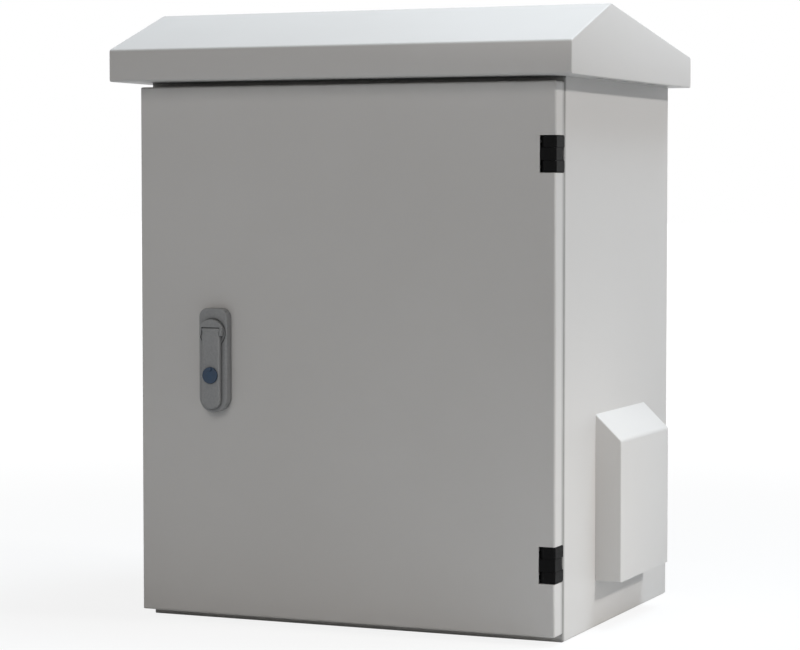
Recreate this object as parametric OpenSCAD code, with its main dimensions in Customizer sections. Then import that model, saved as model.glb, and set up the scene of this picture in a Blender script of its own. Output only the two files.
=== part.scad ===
// Roadside utility cabinet: a folded sheet-steel box with a full-width swing-handle door,
// an overhanging rain canopy and a hooded fan intake in the right-hand wall.
// Millimetres. The origin is the middle of the box's underside, X to the right, Y to the back, Z up.

/* [Body] */
// Width over the side walls
body_w = 500; // [460:5:600]
// Height of the box up to the canopy's underside
body_h = 610; // [580:5:700]
// Depth of the box behind the door gap
body_d = 372; // [350:2:440]
// Thickness of every folded steel sheet
sheet = 1.5; // [1.2:0.1:2]
// Outer radius of the sheet bends
bend_r = 2.5; // [2.2:0.1:4]
// Depth of the welding flanges on the top and bottom panels
panel_flange = 15; // [10:1:18]

/* [Door] */
// Depth of the door tray
door_depth = 25; // [24:0.5:30]
// Air gap between the door's back edge and the box
door_gap = 3; // [2.5:0.25:4]
// Height of the door's lower edge above the underside
door_bottom = 9; // [6:0.5:14]
// Gap between the door's upper edge and the canopy
door_top_gap = 5.5; // [4:0.5:10]
// Width of the inward hem round the door's back edge
hem_w = 12; // [8:1:13]
// Distance of each stiffening rib from the middle of the door
rib_x = 90; // [70:5:100]
// Depth of the stiffening ribs
rib_depth = 14; // [10:1:20]

/* [Door frame] */
// Width of the flange round the door opening
frame_w = 36; // [36:0.5:39]
// Length of the rain lip that stands forward of the flange
lip_len = 17; // [14:0.5:18]
// Inner corner radius of the rain lip
corner_r = 8; // [7:0.5:14]
// Width of the sealing strip on the door
seal_w = 11; // [8:0.5:11]
// Gap between the sealing strip and the rain lip
seal_gap = 0.3; // [0.3:0.1:1]

/* [Canopy] */
// Overhang past each side wall
canopy_side = 26; // [20:1:40]
// Overhang past the door's front face
canopy_front = 25; // [24:1:45]
// Overhang past the back wall
canopy_back = 6; // [4:1:12]
// Height of the upright fascia
fascia_h = 36; // [28:1:45]
// Height of the ridge above the canopy's underside
ridge_h = 82; // [65:1:100]
// Distance of the ridge behind the canopy's front
ridge_y = 130; // [100:5:200]
// Width of the canopy's flange that rests on the top panel
seat_w = 40; // [34:1:50]

/* [Vent hood] */
// Width of the hood along the wall
hood_w = 176; // [170:2:200]
// How far the hood stands off the wall
hood_out = 30; // [22:1:45]
// Height of the hood's open lower edge
hood_bottom = 52; // [40:1:60]
// Height of the hood's upright front
hood_front_h = 158; // [150:1:180]
// Height of the sloping top
hood_slope_h = 29; // [20:1:40]
// Position of the hood behind the middle of the box
hood_y = 8; // [-10:1:20]
// Width of the fixing flange inside the hood
hood_flange = 12; // [9:0.5:14]

/* [Fan] */
// Side of the square fan housing
fan_size = 119; // [119:1:122]
// Depth of the fan housing
fan_depth = 38; // [32:1:40]
// Height of the fan's axis
fan_z = 136; // [130:1:140]
// Distance between the fan's fixing holes
fan_pitch = 105; // [104:0.5:106]
// Radius of the fan's air duct
duct_r = 57.4; // [56:0.1:58]
// Radius of the rotor's hub
rotor_hub_r = 20; // [18:0.5:24]
// Number of fan blades
blades = 7; // [5:1:9]
// Pitch of the blades from the plane of rotation
blade_pitch = 38; // [25:1:50]
// Side of the filter frame
filter_size = 146; // [144:1:150]
// Depth of the filter frame
filter_depth = 12; // [10:0.5:16]
// Number of air slots in the wall
slot_count = 8; // [6:1:8]
// Height of one air slot
slot_h = 6; // [4:0.5:7]
// Distance from one air slot to the next
slot_pitch = 12; // [10:0.5:12]

/* [Mounting plate] */
// Width of the equipment plate
plate_w = 410; // [380:5:430]
// Height of the equipment plate in a box of standard height
plate_h = 500; // [460:5:510]
// Height of the equipment plate's lower edge
plate_bottom = 72; // [65:1:80]
// Distance of the plate from the back wall
plate_off = 20; // [16:1:24]
// Thickness of the plate
plate_t = 2; // [1.5:0.1:3]
// Radius of the plate's fixing studs
stud_r = 4; // [3:0.5:5]

/* [Earth bar] */
// Length of the earth bar
bar_len = 200; // [160:5:240]
// Height of the earth bar's middle
bar_z = 42; // [36:1:46]
// Number of terminals on the earth bar
terminals = 6; // [4:1:8]

/* [Cable entry] */
// Width of the cut-out in the bottom panel
gland_w = 220; // [200:5:240]
// Depth of the cut-out in the bottom panel
gland_d = 84; // [76:1:90]
// Position of the cut-out behind the middle of a box of standard depth
gland_y = 88; // [80:1:96]
// Overlap of the gland plate round the cut-out
gland_lap = 14; // [12:1:18]
// Number of cable grommets
grommets = 3; // [2:1:3]
// Distance from one grommet to the next
grommet_pitch = 65; // [60:1:70]
// Inner radius of a grommet's cup
grommet_r = 10; // [8:0.5:14]

/* [Mounting rails] */
// Length of each rear rail
rail_len = 440; // [400:5:460]
// Height of a rail's web
rail_h = 40; // [30:1:50]
// Distance that a rail stands off the back wall
rail_depth = 15; // [12:1:25]
// Thickness of a rail
rail_t = 2; // [1.5:0.1:3]
// Distance between the rails' middles in a box of standard height
rail_span = 420; // [360:5:440]
// Distance between the two bolt holes of one rail
bolt_span = 360; // [320:5:380]
// Radius of the bolt holes
bolt_r = 5.5; // [4:0.25:7]

/* [Lock] */
// Distance of the handle's axis from the door's free edge
lock_in = 97; // [90:1:110]
// Height of the handle's axis
lock_z = 328.5; // [300:0.5:350]
// Width of the lock's base
lock_w = 35; // [35:0.5:40]
// Reach of the base above the handle's axis
lock_up = 27.5; // [24:0.5:32]
// Reach of the base below the handle's axis
lock_down = 89.5; // [89:0.5:100]
// Thickness of the base
lock_t = 11; // [10:0.5:14]
// Radius of the turning hub
hub_r = 15.2; // [15:0.1:16]
// Depth of the dish in the base that the hub turns in
dish_t = 1.2; // [0.8:0.1:2]
// Radius of the spindle behind the hub
spindle_r = 7.5; // [6:0.25:8]
// Width of the folding lever
lever_w = 22; // [22:0.5:25]
// Reach of the lever below the handle's axis
lever_down = 85.5; // [80:0.5:86]
// Height of the lever's fold above the handle's axis
fold_up = 3.5; // [2:0.5:5]
// Distance of the key barrel below the handle's axis
key_down = 47.5; // [45:0.1:55]
// Radius of the key barrel
barrel_r = 5.2; // [5:0.1:5.4]
// Radius of the key plug
plug_r = 3.5; // [3.2:0.1:4]
// Radius of the key cover
cover_r = 9.2; // [9:0.1:10]
// Reach of the latch past the handle's axis
latch_len = 74; // [70:1:80]
// Width of the latch
latch_w = 20; // [18:0.5:24]
// Thickness of the latch
latch_t = 3; // [2.5:0.5:4]

/* [Hinges] */
// Height of one hinge
hinge_h = 38; // [36:0.5:50]
// Distance between the two hinges' middles in a box of standard height
hinge_span = 440; // [380:5:460]
// Width of the hinge block seen from the front
hinge_w = 18; // [17:0.5:18]
// How far the hinge block stands proud of the side and the front
hinge_proud = 0.5; // [0.3:0.1:1]
// Height of the middle knuckle
knuckle_h = 13.4; // [12:0.2:15]
// Distance of the pin from the side wall's outer face
pin_in = 7; // [6.5:0.25:7.5]
// Distance of the pin behind the door's front face
pin_back = 13; // [12.5:0.25:13.5]
// Radius of the hinge pin
pin_r = 3; // [2:0.25:3.5]

/* [Fits] */
// Radial clearance of a fixed pin or screw in its hole
slip = 0.02; // [0.01:0.01:0.05]
// Radial clearance of a turning shaft in its bearing
running = 0.05; // [0.02:0.01:0.1]
// Clearance between moving faces
clear = 0.3; // [0.3:0.05:0.6]

/* [Hidden] */

round_fn = 64;
half_w = body_w / 2;
inner_x = half_w - sheet;
front_y = -body_d / 2;
back_y = body_d / 2;
inner_back_y = back_y - sheet;
inner_bend = bend_r - sheet;
relief = bend_r + 1;

door_back_y = front_y - door_gap;
door_front_y = door_back_y - door_depth;
door_skin_y = door_front_y + sheet;
door_top = body_h - door_top_gap;
door_h = door_top - door_bottom;
door_mid_z = (door_top + door_bottom) / 2;
box_mid_z = body_h / 2;
standard_h = 610;
taller = body_h - standard_h;
standard_d = 372;
deeper = (body_d - standard_d) / 2;

opening_w = body_w - 2 * frame_w;
opening_h = body_h - 2 * frame_w;
lip_front_y = front_y - lip_len;
seal_back_y = lip_front_y - seal_gap;

canopy_w = body_w + 2 * canopy_side;
canopy_y0 = door_front_y - canopy_front;
canopy_y1 = back_y + canopy_back;
canopy_points = [
  [canopy_y0, body_h],
  [canopy_y1, body_h],
  [canopy_y1, body_h + fascia_h],
  [canopy_y0 + ridge_y, body_h + ridge_h],
  [canopy_y0, body_h + fascia_h]
];
canopy_bolt_x = half_w - seat_w / 2;
canopy_bolt_y = back_y - seat_w / 2;
canopy_bolt_r = 3;
bolt_hex_r = 5.8;
bolt_head_h = 4;
bolt_nut_h = 5;
bolt_tail = 1;
vent_len = 34;
vent_w = 7;
vent_row_y = (back_y - seat_w) / 2;
vent_step = 1.4 * vent_len;

hood_x = half_w + hood_out;
hood_eave = hood_bottom + hood_front_h;
hood_top = hood_eave + hood_slope_h;
hood_past = 4;
hood_points = [
  [half_w - hood_past, hood_bottom - hood_past],
  [hood_x, hood_bottom - hood_past],
  [hood_x, hood_eave],
  [half_w - hood_past, hood_top + hood_past * hood_slope_h / hood_out]
];
hood_rivet_y = hood_w / 2 - sheet - hood_flange / 2;
rivet_edge = 20;
hood_rivet_z = [hood_bottom + rivet_edge, hood_bottom + hood_front_h / 2, hood_eave - rivet_edge];
rivet_r = 2;

filter_x = inner_x - filter_depth;
filter_window = fan_pitch - 7;
filter_screw = filter_size / 2 - 5;
fan_x = filter_x - fan_depth;
fan_hole_r = 2.15;
small_screw_r = 2;
small_head_r = 3.6;
small_head_h = 2.4;
fan_plate_t = 4.5;
stator_t = 7;
shaft_r = 2;
tip_gap = 1.2;
blade_t = 1.8;
blade_chord = 30;
wire_r = 0.9;
guard_t = 2 * wire_r;
slot_len = filter_window - 8;

plate_back_y = inner_back_y - plate_off;
plate_front_y = plate_back_y - plate_t;
plate_tall = plate_h + taller;
plate_mid_z = plate_bottom + plate_tall / 2;
plate_edge = 20;
plate_fold = 12;
plate_stud_x = plate_w / 2 - plate_edge;
plate_stud_z = plate_tall / 2 - plate_edge;
stud_tail = 4;
stud_nut_h = 6.5;

bar_t = 4;
bar_h = 20;
bar_y = inner_back_y - plate_off;
bar_edge = 14;
bar_post_x = bar_len / 2 - bar_edge;
bar_screw_room = 16;
bar_pitch = (2 * bar_post_x - 2 * bar_screw_room) / (terminals - 1);
bar_screw_r = 2.5;
bar_hex_r = 4.6;
bar_head_h = 3.5;
bar_screw_tail = 8;
bar_post_r = 8;

gland_sheet = 1.5;
gland_seal_t = 2;
gland_plate_z = sheet + gland_seal_t;
gland_plate_top = gland_plate_z + gland_sheet;
gland_mid_y = gland_y + deeper;
gland_screw_x = gland_w / 2 + gland_lap / 2;
gland_screw_y = gland_d / 2 + gland_lap / 2;
grommet_wall = 3.5;
grommet_flange = 4;
grommet_low = 2.5;
grommet_skin = 1.2;

rail_y = back_y + rail_depth;
rail_foot = 12;
rail_run = rail_span + taller;
rail_z = [box_mid_z - rail_run / 2, box_mid_z + rail_run / 2];

rib_end = 25;
rib_top_w = 24;
rib_foot = 12;
door_stud_in = 40;
door_stud_r = 3;
door_stud_len = 15;
door_stud_flange_r = 5;
door_stud_flange_t = 1.2;
door_nut_h = 5;

pin_x = half_w - pin_in;
pin_y = door_front_y + pin_back;
hinge_run = hinge_span + taller;
hinge_z = [door_mid_z - hinge_run / 2, door_mid_z + hinge_run / 2];
block_x0 = half_w - hinge_w;
block_x1 = half_w + hinge_proud;
block_y0 = door_front_y - hinge_proud;
knuckle_r = front_y - pin_y - 0.5;
end_knuckle_h = (hinge_h - knuckle_h) / 2 - clear;
leaf_t = 3;
leaf_x0 = opening_w / 2 + 2;
leaf_screw_z = hinge_h / 2 - 5.5;
leaf_screw_x = leaf_x0 + 5.2;
door_leaf_x0 = opening_w / 2 + seal_w / 2;
door_leaf_x1 = pin_x - knuckle_r - clear - 0.2;
door_leaf_screw_x = (door_leaf_x0 + door_leaf_x1) / 2;
notch_x = block_x0 - 0.5;
notch_h = hinge_h + 2;
hinge_screw_r = 1.75;
hinge_head_r = 3;

lock_x = lock_in - half_w;
lock_pad = 1;
lock_face = lock_pad + lock_t;
collar_r = 10.5;
collar_len = 13;
lock_nut_t = 7;
lock_nut_r = 15.5;
hub_floor = 1.8;
hub_low = lock_face - dish_t + clear;
dish_r = hub_r + 1.4;
hub_floor_out = hub_low + hub_floor;
fold_r = 2.5;
fold_gap = 0.2;
fold_out = hub_floor_out + fold_gap + fold_r;
lever_out = fold_out + fold_r;
lever_low = lock_face + 2 * clear;
handle_pin_r = 1.5;
cheek_x = lever_w / 2 + clear;
cheek_t = 2.4;
cheek_end = cheek_x + cheek_t;
key_pocket_r = 8;
key_pocket_out = lever_low + 2.6;
cover_low = lever_out + clear;
cover_t = 2;
cover_out = cover_low + cover_t;
cover_pivot = cover_r - 2.3;
cover_rivet_r = 1.4;
cover_head_r = 2.3;
latch_gap = 1.5;
latch_y = door_depth + door_gap + sheet + latch_gap;
latch_square = 9;
latch_screw_r = 2.5;
anti_turn_up = 16;
anti_turn_z = anti_turn_up - lock_down;
anti_turn_r = 2;
anti_turn_bite = lock_t - 2.5;

// Directions and offsets of flat outlines with their corners in counter-clockwise order
function unit(v) = v / norm(v);
function inward(a, b) = let (u = unit(b - a)) [-u[1], u[0]];
function before(i, n) = (i + n - 1) % n;
function after(i, n) = (i + 1) % n;
function inset(p, d) = let (n = len(p)) [
  for (i = [0 : n - 1])
    let (m = inward(p[before(i, n)], p[i]), k = inward(p[i], p[after(i, n)]))
    p[i] + (m + k) * d / (1 + m * k)
];
function half_angle(p, i) = let (n = len(p))
  acos(unit(p[before(i, n)] - p[i]) * unit(p[after(i, n)] - p[i])) / 2;
function corner_points(p, r, i) = let (
  n = len(p),
  t = r[i] / tan(half_angle(p, i)),
  a = unit(p[before(i, n)] - p[i]),
  b = unit(p[after(i, n)] - p[i])
) r[i] > 0 ? [p[i] + a * t, p[i] + b * t] : [p[i]];
function corner_centre(p, r, i) = let (
  n = len(p),
  a = unit(p[before(i, n)] - p[i]),
  b = unit(p[after(i, n)] - p[i])
) p[i] + unit(a + b) * r[i] / sin(half_angle(p, i));
function box_points(x0, y0, x1, y1) = [[x0, y0], [x1, y0], [x1, y1], [x0, y1]];

// A flat outline whose corners are rounded to the given radii
module rounded_outline(p, r) {
  polygon([for (i = [0 : len(p) - 1]) each corner_points(p, r, i)]);
  for (i = [0 : len(p) - 1])
    if (r[i] > 0)
      translate(corner_centre(p, r, i))
        circle(r = r[i], $fn = round_fn);
}

// A centred rectangle with four equal round corners
module rounded_rect(w, h, r) {
  rounded_outline(box_points(-w / 2, -h / 2, w / 2, h / 2), [r, r, r, r]);
}

// A slot with round ends, centred, along the first axis
module slot_outline(len, wide) {
  square([len - wide, wide], center = true);
  for (s = [-1, 1])
    translate([s * (len - wide) / 2, 0])
      circle(d = wide, $fn = round_fn);
}

// Extrusions along X of an outline drawn in Y and Z, and along Y of one drawn in X and Z
module along_x(len) {
  rotate([90, 0, 90])
    linear_extrude(height = len, center = true)
      children();
}

module along_y(len) {
  rotate([90, 0, 0])
    linear_extrude(height = len, center = true)
      children();
}

// A plate of an X and Z outline that fills the depth from y0 to y1
module plate_y(y0, y1) {
  translate([0, (y0 + y1) / 2, 0])
    along_y(y1 - y0)
      children();
}

// Round rods along X and Y between two ends
module rod_x(x0, x1, r) {
  translate([x0, 0, 0])
    rotate([0, 90, 0])
      cylinder(h = x1 - x0, r = r, $fn = round_fn);
}

module rod_y(y0, y1, r) {
  translate([0, y0, 0])
    rotate([-90, 0, 0])
      cylinder(h = y1 - y0, r = r, $fn = round_fn);
}

// Hexagon prisms along Y and Z with the given corner radius
module hex_y(y0, y1, r) {
  translate([0, y0, 0])
    rotate([-90, 0, 0])
      cylinder(h = y1 - y0, r = r, $fn = 6);
}

module hex_z(z0, z1, r) {
  translate([0, 0, z0])
    cylinder(h = z1 - z0, r = r, $fn = 6);
}

module rod_z(z0, z1, r) {
  translate([0, 0, z0])
    cylinder(h = z1 - z0, r = r, $fn = round_fn);
}

// A block from one corner to the other
module block(a, b) {
  translate(a)
    cube(b - a);
}

// Plan of the hollow between the box's three walls, round at the two back bends
module hollow_plan(x, y0, y1, r) {
  rounded_outline(box_points(-x, y0, x, y1), [0, 0, r, r]);
}

// The box's outer form, bent round at every upright edge and along the lower edges
module wall_form() {
  intersection() {
    linear_extrude(height = body_h)
      rounded_outline(
        box_points(-half_w, front_y, half_w, back_y),
        [bend_r, bend_r, bend_r, bend_r]
      );
    along_y(2 * body_d)
      rounded_outline(box_points(-half_w, 0, half_w, body_h), [bend_r, bend_r, 0, 0]);
    along_x(2 * body_w)
      rounded_outline(box_points(front_y, 0, back_y, body_h), [0, bend_r, 0, 0]);
  }
}

// Box

// Places of the air slots in the right-hand wall
module at_air_slots() {
  for (i = [0 : slot_count - 1])
    translate([inner_x + sheet / 2, hood_y, fan_z + (i - (slot_count - 1) / 2) * slot_pitch])
      children();
}

module at_hood_rivets() {
  for (s = [-1, 1], z = hood_rivet_z)
    translate([0, hood_y + s * hood_rivet_y, z])
      children();
}

module at_filter_screws() {
  for (s = [-1, 1], t = [-1, 1])
    translate([0, hood_y + s * filter_screw, fan_z + t * filter_screw])
      children();
}

module body_wrap() {
  color([0.78, 0.79, 0.78])
    difference() {
      wall_form();
      translate([0, 0, -1])
        linear_extrude(height = body_h + 2)
          hollow_plan(inner_x, front_y - 1, inner_back_y, inner_bend);
      at_air_slots()
        along_x(4 * sheet)
          slot_outline(slot_len, slot_h);
      at_hood_rivets()
        rod_x(inner_x - 1, half_w + 1, rivet_r + slip);
      at_filter_screws()
        rod_x(inner_x - 1, half_w + 1, small_screw_r + slip);
    }
}

// A panel that closes the walls, with its flanges turned towards the inside
module closing_panel() {
  linear_extrude(height = sheet)
    difference() {
      translate([-inner_x, front_y])
        square([2 * inner_x, inner_back_y - front_y]);
      for (s = [-1, 1])
        translate([s * inner_x, inner_back_y])
          square(2 * relief, center = true);
    }
  for (s = [-1, 1])
    translate([s * (inner_x - sheet / 2), 0, panel_flange / 2])
      cube([sheet, body_d - 2 * (relief + sheet), panel_flange], center = true);
  translate([0, inner_back_y - sheet / 2, panel_flange / 2])
    cube([2 * (inner_x - relief), sheet, panel_flange], center = true);
}

module at_canopy_bolts() {
  for (s = [-1, 1], t = [-1, 1])
    translate([s * canopy_bolt_x, t * canopy_bolt_y, 0])
      children();
}

module top_panel() {
  color([0.76, 0.77, 0.76])
    difference() {
      translate([0, 0, body_h])
        mirror([0, 0, 1])
          closing_panel();
      for (s = [-1, 1], i = [-3 : 3])
        translate([i * vent_len, s * vent_row_y, body_h - 2 * sheet])
          linear_extrude(height = 3 * sheet)
            rotate(90)
              slot_outline(2 * vent_len, vent_w);
      at_canopy_bolts()
        rod_z(body_h - 2 * sheet, body_h + sheet, canopy_bolt_r + slip);
    }
}

module at_gland_screws() {
  for (s = [-1, 0, 1], t = [-1, 1])
    translate([s * gland_screw_x, gland_mid_y + t * gland_screw_y, 0])
      children();
}

module bottom_panel() {
  color([0.72, 0.73, 0.72])
    difference() {
      closing_panel();
      translate([0, gland_mid_y, -1])
        linear_extrude(height = sheet + 2)
          rounded_rect(gland_w, gland_d, corner_r);
      at_gland_screws()
        rod_z(-1, sheet + 1, small_screw_r + slip);
    }
}

module at_leaf_screws() {
  for (z = hinge_z, s = [-1, 1])
    translate([leaf_screw_x, 0, z + s * leaf_screw_z])
      children();
}

module door_frame() {
  color([0.76, 0.77, 0.76])
    difference() {
      union() {
        plate_y(front_y, front_y + sheet)
          translate([0, box_mid_z])
            difference() {
              square([2 * inner_x, body_h - 2 * sheet], center = true);
              rounded_rect(opening_w - 2 * sheet, opening_h - 2 * sheet, corner_r);
            }
        plate_y(lip_front_y, front_y + sheet)
          translate([0, box_mid_z])
            difference() {
              rounded_rect(opening_w, opening_h, corner_r + sheet);
              rounded_rect(opening_w - 2 * sheet, opening_h - 2 * sheet, corner_r);
            }
      }
      at_leaf_screws()
        rod_y(front_y - 1, front_y + sheet + 1, hinge_screw_r + slip);
    }
}

// Canopy

module canopy_shell() {
  difference() {
    along_x(canopy_w)
      rounded_outline(canopy_points, [bend_r, bend_r, bend_r, bend_r, bend_r]);
    along_x(canopy_w - 2 * sheet)
      rounded_outline(
        inset(canopy_points, sheet),
        [inner_bend, inner_bend, inner_bend, inner_bend, inner_bend]
      );
  }
}

module rain_canopy() {
  front_vent_y = (canopy_y0 + front_y) / 2;
  color([0.86, 0.87, 0.86])
    difference() {
      canopy_shell();
      translate([0, 0, body_h - 1])
        linear_extrude(height = sheet + 2)
          rounded_rect(body_w - 2 * seat_w, body_d - 2 * seat_w, corner_r);
      for (i = [-4.5 : 4.5])
        translate([i * vent_step, front_vent_y, body_h - 1])
          linear_extrude(height = sheet + 2)
            slot_outline(vent_len, vent_w);
      for (s = [-1, 1], i = [-2.5 : 2.5])
        translate([s * (half_w + canopy_side / 2), i * vent_step, body_h - 1])
          linear_extrude(height = sheet + 2)
            rotate(90)
              slot_outline(vent_len, vent_w);
      at_canopy_bolts()
        rod_z(body_h - 1, body_h + sheet + 1, canopy_bolt_r + slip);
    }
}

module canopy_bolts() {
  color([0.62, 0.63, 0.64])
    at_canopy_bolts() {
      hex_z(body_h - sheet - bolt_head_h, body_h - sheet, bolt_hex_r);
      rod_z(body_h - sheet - bolt_head_h / 4, body_h + sheet + bolt_nut_h + bolt_tail, canopy_bolt_r);
    }
}

module canopy_nuts() {
  color([0.62, 0.63, 0.64])
    at_canopy_bolts()
      difference() {
        hex_z(body_h + sheet, body_h + sheet + bolt_nut_h, bolt_hex_r);
        rod_z(body_h, body_h + sheet + 2 * bolt_nut_h, canopy_bolt_r + slip);
      }
}

// Ventilation

// Side view of the hood, carried on past the wall and the open lower edge
module hood_solid(d, len) {
  translate([0, hood_y, 0])
    along_y(len)
      rounded_outline(inset(hood_points, d), [0, 0, bend_r - d, 0]);
}

module vent_hood() {
  color([0.82, 0.83, 0.82])
    difference() {
      union() {
        difference() {
          intersection() {
            hood_solid(0, hood_w);
            block(
              [half_w, hood_y - hood_w, hood_bottom],
              [hood_x, hood_y + hood_w, hood_top]
            );
          }
          hood_solid(sheet, hood_w - 2 * sheet);
        }
        for (s = [-1, 1])
          translate([half_w + sheet / 2, hood_y + s * hood_rivet_y, hood_bottom + hood_front_h / 2])
            cube([sheet, hood_flange, hood_front_h], center = true);
      }
      at_hood_rivets()
        rod_x(half_w - 1, half_w + sheet + 1, rivet_r + slip);
    }
}

module hood_rivets() {
  color([0.62, 0.63, 0.64])
    at_hood_rivets() {
      rod_x(inner_x - 1.2, inner_x, 2 * rivet_r);
      rod_x(inner_x - 0.5, half_w + sheet + 1, rivet_r);
      rod_x(half_w + sheet, half_w + sheet + 1.5, 1.6 * rivet_r);
    }
}

module at_fan_screws() {
  for (s = [-1, 1], t = [-1, 1])
    translate([0, hood_y + s * fan_pitch / 2, fan_z + t * fan_pitch / 2])
      children();
}

module at_fan() {
  translate([0, hood_y, fan_z])
    children();
}

module filter_frame() {
  color([0.2, 0.2, 0.21])
    difference() {
      at_fan()
        translate([filter_x + filter_depth / 2, 0, 0])
          along_x(filter_depth)
            difference() {
              rounded_rect(filter_size, filter_size, 6);
              square(filter_window, center = true);
            }
      at_filter_screws()
        rod_x(filter_x - 1, inner_x + 1, small_screw_r + slip);
      at_fan_screws()
        rod_x(filter_x - 1, inner_x - 2, small_screw_r + slip);
    }
}

module filter_screws() {
  color([0.62, 0.63, 0.64])
    at_filter_screws() {
      rod_x(filter_x - small_head_h, filter_x, small_head_r);
      rod_x(filter_x - 1, half_w - 0.1, small_screw_r);
    }
}

module vent_filter() {
  color([0.86, 0.86, 0.82])
    at_fan()
      block(
        [filter_x, -filter_window / 2 + clear, -filter_window / 2 + clear],
        [inner_x, filter_window / 2 - clear, filter_window / 2 - clear]
      );
}

// Struts that hold the fan's motor in the middle of the duct
module motor_struts() {
  for (a = [45 : 90 : 315])
    rotate([a, 0, 0])
      block([filter_x - stator_t, -2, rotor_hub_r - 4], [filter_x - stator_t + 4, 2, duct_r + 1]);
}

module fan_housing() {
  color([0.13, 0.13, 0.14])
    difference() {
      at_fan()
        union() {
          difference() {
            union() {
              for (x = [fan_x, filter_x - fan_plate_t])
                translate([x + fan_plate_t / 2, 0, 0])
                  along_x(fan_plate_t)
                    rounded_rect(fan_size, fan_size, 4);
              rod_x(fan_x + 1, filter_x - 1, duct_r + 1.8);
            }
            rod_x(fan_x - 1, filter_x + 1, duct_r);
          }
          rod_x(filter_x - stator_t, filter_x, rotor_hub_r - 1);
          motor_struts();
        }
      at_fan_screws()
        rod_x(fan_x - 1, filter_x + 1, fan_hole_r);
      at_fan()
        rod_x(fan_x, filter_x - 1, shaft_r + running);
    }
}

module fan_rotor() {
  x0 = fan_x + 4;
  x1 = filter_x - stator_t - 1;
  blade_x = (x0 + x1) / 2;
  color([0.1, 0.1, 0.11])
    at_fan() {
      rod_x(x0, x1, rotor_hub_r);
      rod_x(x1 - 1, filter_x - 1.5, shaft_r);
      intersection() {
        rod_x(x0, x1, duct_r - tip_gap);
        for (i = [0 : blades - 1])
          rotate([i * 360 / blades, 0, 0])
            translate([blade_x, 0, (rotor_hub_r + duct_r) / 2])
              rotate([0, 0, blade_pitch])
                cube([blade_t, blade_chord, duct_r - rotor_hub_r + 4], center = true);
      }
    }
}

// Round wires of the finger guard: rings with two bars welded behind them
module guard_wires() {
  rotate([0, 90, 0])
    for (r = [16 : 13 : 55])
      translate([0, 0, fan_x - guard_t])
        rotate_extrude($fn = 96)
          translate([r, 0])
            circle(r = wire_r, $fn = 24);
  for (a = [45, 135])
    rotate([a, 0, 0])
      translate([fan_x - wire_r, 0, 0])
        cylinder(h = sqrt(2) * fan_pitch - 6, r = wire_r, center = true, $fn = 24);
}

module fan_guard() {
  color([0.62, 0.63, 0.64])
    difference() {
      union() {
        at_fan()
          guard_wires();
        at_fan_screws()
          rod_x(fan_x - guard_t, fan_x, small_head_r + 1);
      }
      at_fan_screws()
        rod_x(fan_x - guard_t - 1, fan_x + 1, fan_hole_r);
    }
}

module fan_screws() {
  color([0.62, 0.63, 0.64])
    at_fan_screws() {
      rod_x(fan_x - guard_t - small_head_h, fan_x - guard_t, small_head_r);
      rod_x(fan_x - guard_t - 1, inner_x - 2.2, small_screw_r);
    }
}

// Equipment plate and earth bar

module at_plate_studs() {
  for (s = [-1, 1], t = [-1, 1])
    translate([s * plate_stud_x, 0, plate_mid_z + t * plate_stud_z])
      children();
}

module mounting_plate() {
  color([0.7, 0.71, 0.7])
    difference() {
      union() {
        translate([0, 0, plate_mid_z])
          block([-plate_w / 2, plate_front_y, -plate_tall / 2], [plate_w / 2, plate_back_y, plate_tall / 2]);
        for (s = [-1, 1])
          translate([s * (plate_w - plate_t) / 2, plate_front_y + plate_fold / 2, plate_mid_z])
            cube([plate_t, plate_fold, plate_tall], center = true);
      }
      at_plate_studs()
        rod_y(plate_front_y - 1, plate_back_y + 1, stud_r + slip);
    }
}

module plate_studs() {
  color([0.62, 0.63, 0.64])
    at_plate_studs() {
      rod_y(plate_back_y, inner_back_y, 2 * stud_r);
      rod_y(plate_front_y - stud_nut_h - stud_tail, inner_back_y - 1, stud_r);
    }
}

module plate_nuts() {
  color([0.62, 0.63, 0.64])
    at_plate_studs()
      difference() {
        hex_y(plate_front_y - stud_nut_h, plate_front_y, 1.85 * stud_r);
        rod_y(plate_front_y - stud_nut_h - 1, plate_front_y + 1, stud_r + slip);
      }
}

module at_bar_posts() {
  for (s = [-1, 1])
    translate([s * bar_post_x, 0, bar_z])
      children();
}

module at_bar_screws() {
  at_bar_posts()
    children();
  for (i = [0 : terminals - 1])
    translate([(i - (terminals - 1) / 2) * bar_pitch, 0, bar_z])
      children();
}

module earth_bar() {
  color([0.72, 0.45, 0.25])
    difference() {
      block(
        [-bar_len / 2, bar_y - bar_t, bar_z - bar_h / 2],
        [bar_len / 2, bar_y, bar_z + bar_h / 2]
      );
      at_bar_screws()
        rod_y(bar_y - bar_t - 1, bar_y + 1, bar_screw_r + slip);
    }
}

module earth_posts() {
  color([0.55, 0.12, 0.1])
    at_bar_posts()
      difference() {
        rod_y(bar_y, inner_back_y, bar_post_r);
        rod_y(bar_y - 1, bar_y + bar_screw_tail + 1, bar_screw_r + slip);
      }
}

module earth_screws() {
  color([0.75, 0.68, 0.42])
    at_bar_screws() {
      hex_y(bar_y - bar_t - bar_head_h, bar_y - bar_t, bar_hex_r);
      rod_y(bar_y - bar_t - bar_head_h / 2, bar_y + bar_screw_tail, bar_screw_r);
    }
}

// Cable entry

module at_grommets() {
  for (i = [0 : grommets - 1])
    translate([(i - (grommets - 1) / 2) * grommet_pitch, gland_mid_y, 0])
      children();
}

module gland_gasket() {
  color([0.12, 0.12, 0.12])
    difference() {
      translate([0, gland_mid_y, sheet])
        linear_extrude(height = gland_seal_t)
          difference() {
            rounded_rect(gland_w + 2 * gland_lap, gland_d + 2 * gland_lap, corner_r + 2);
            rounded_rect(gland_w, gland_d, corner_r);
          }
      at_gland_screws()
        rod_z(0, gland_plate_top, small_screw_r + slip);
    }
}

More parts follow.
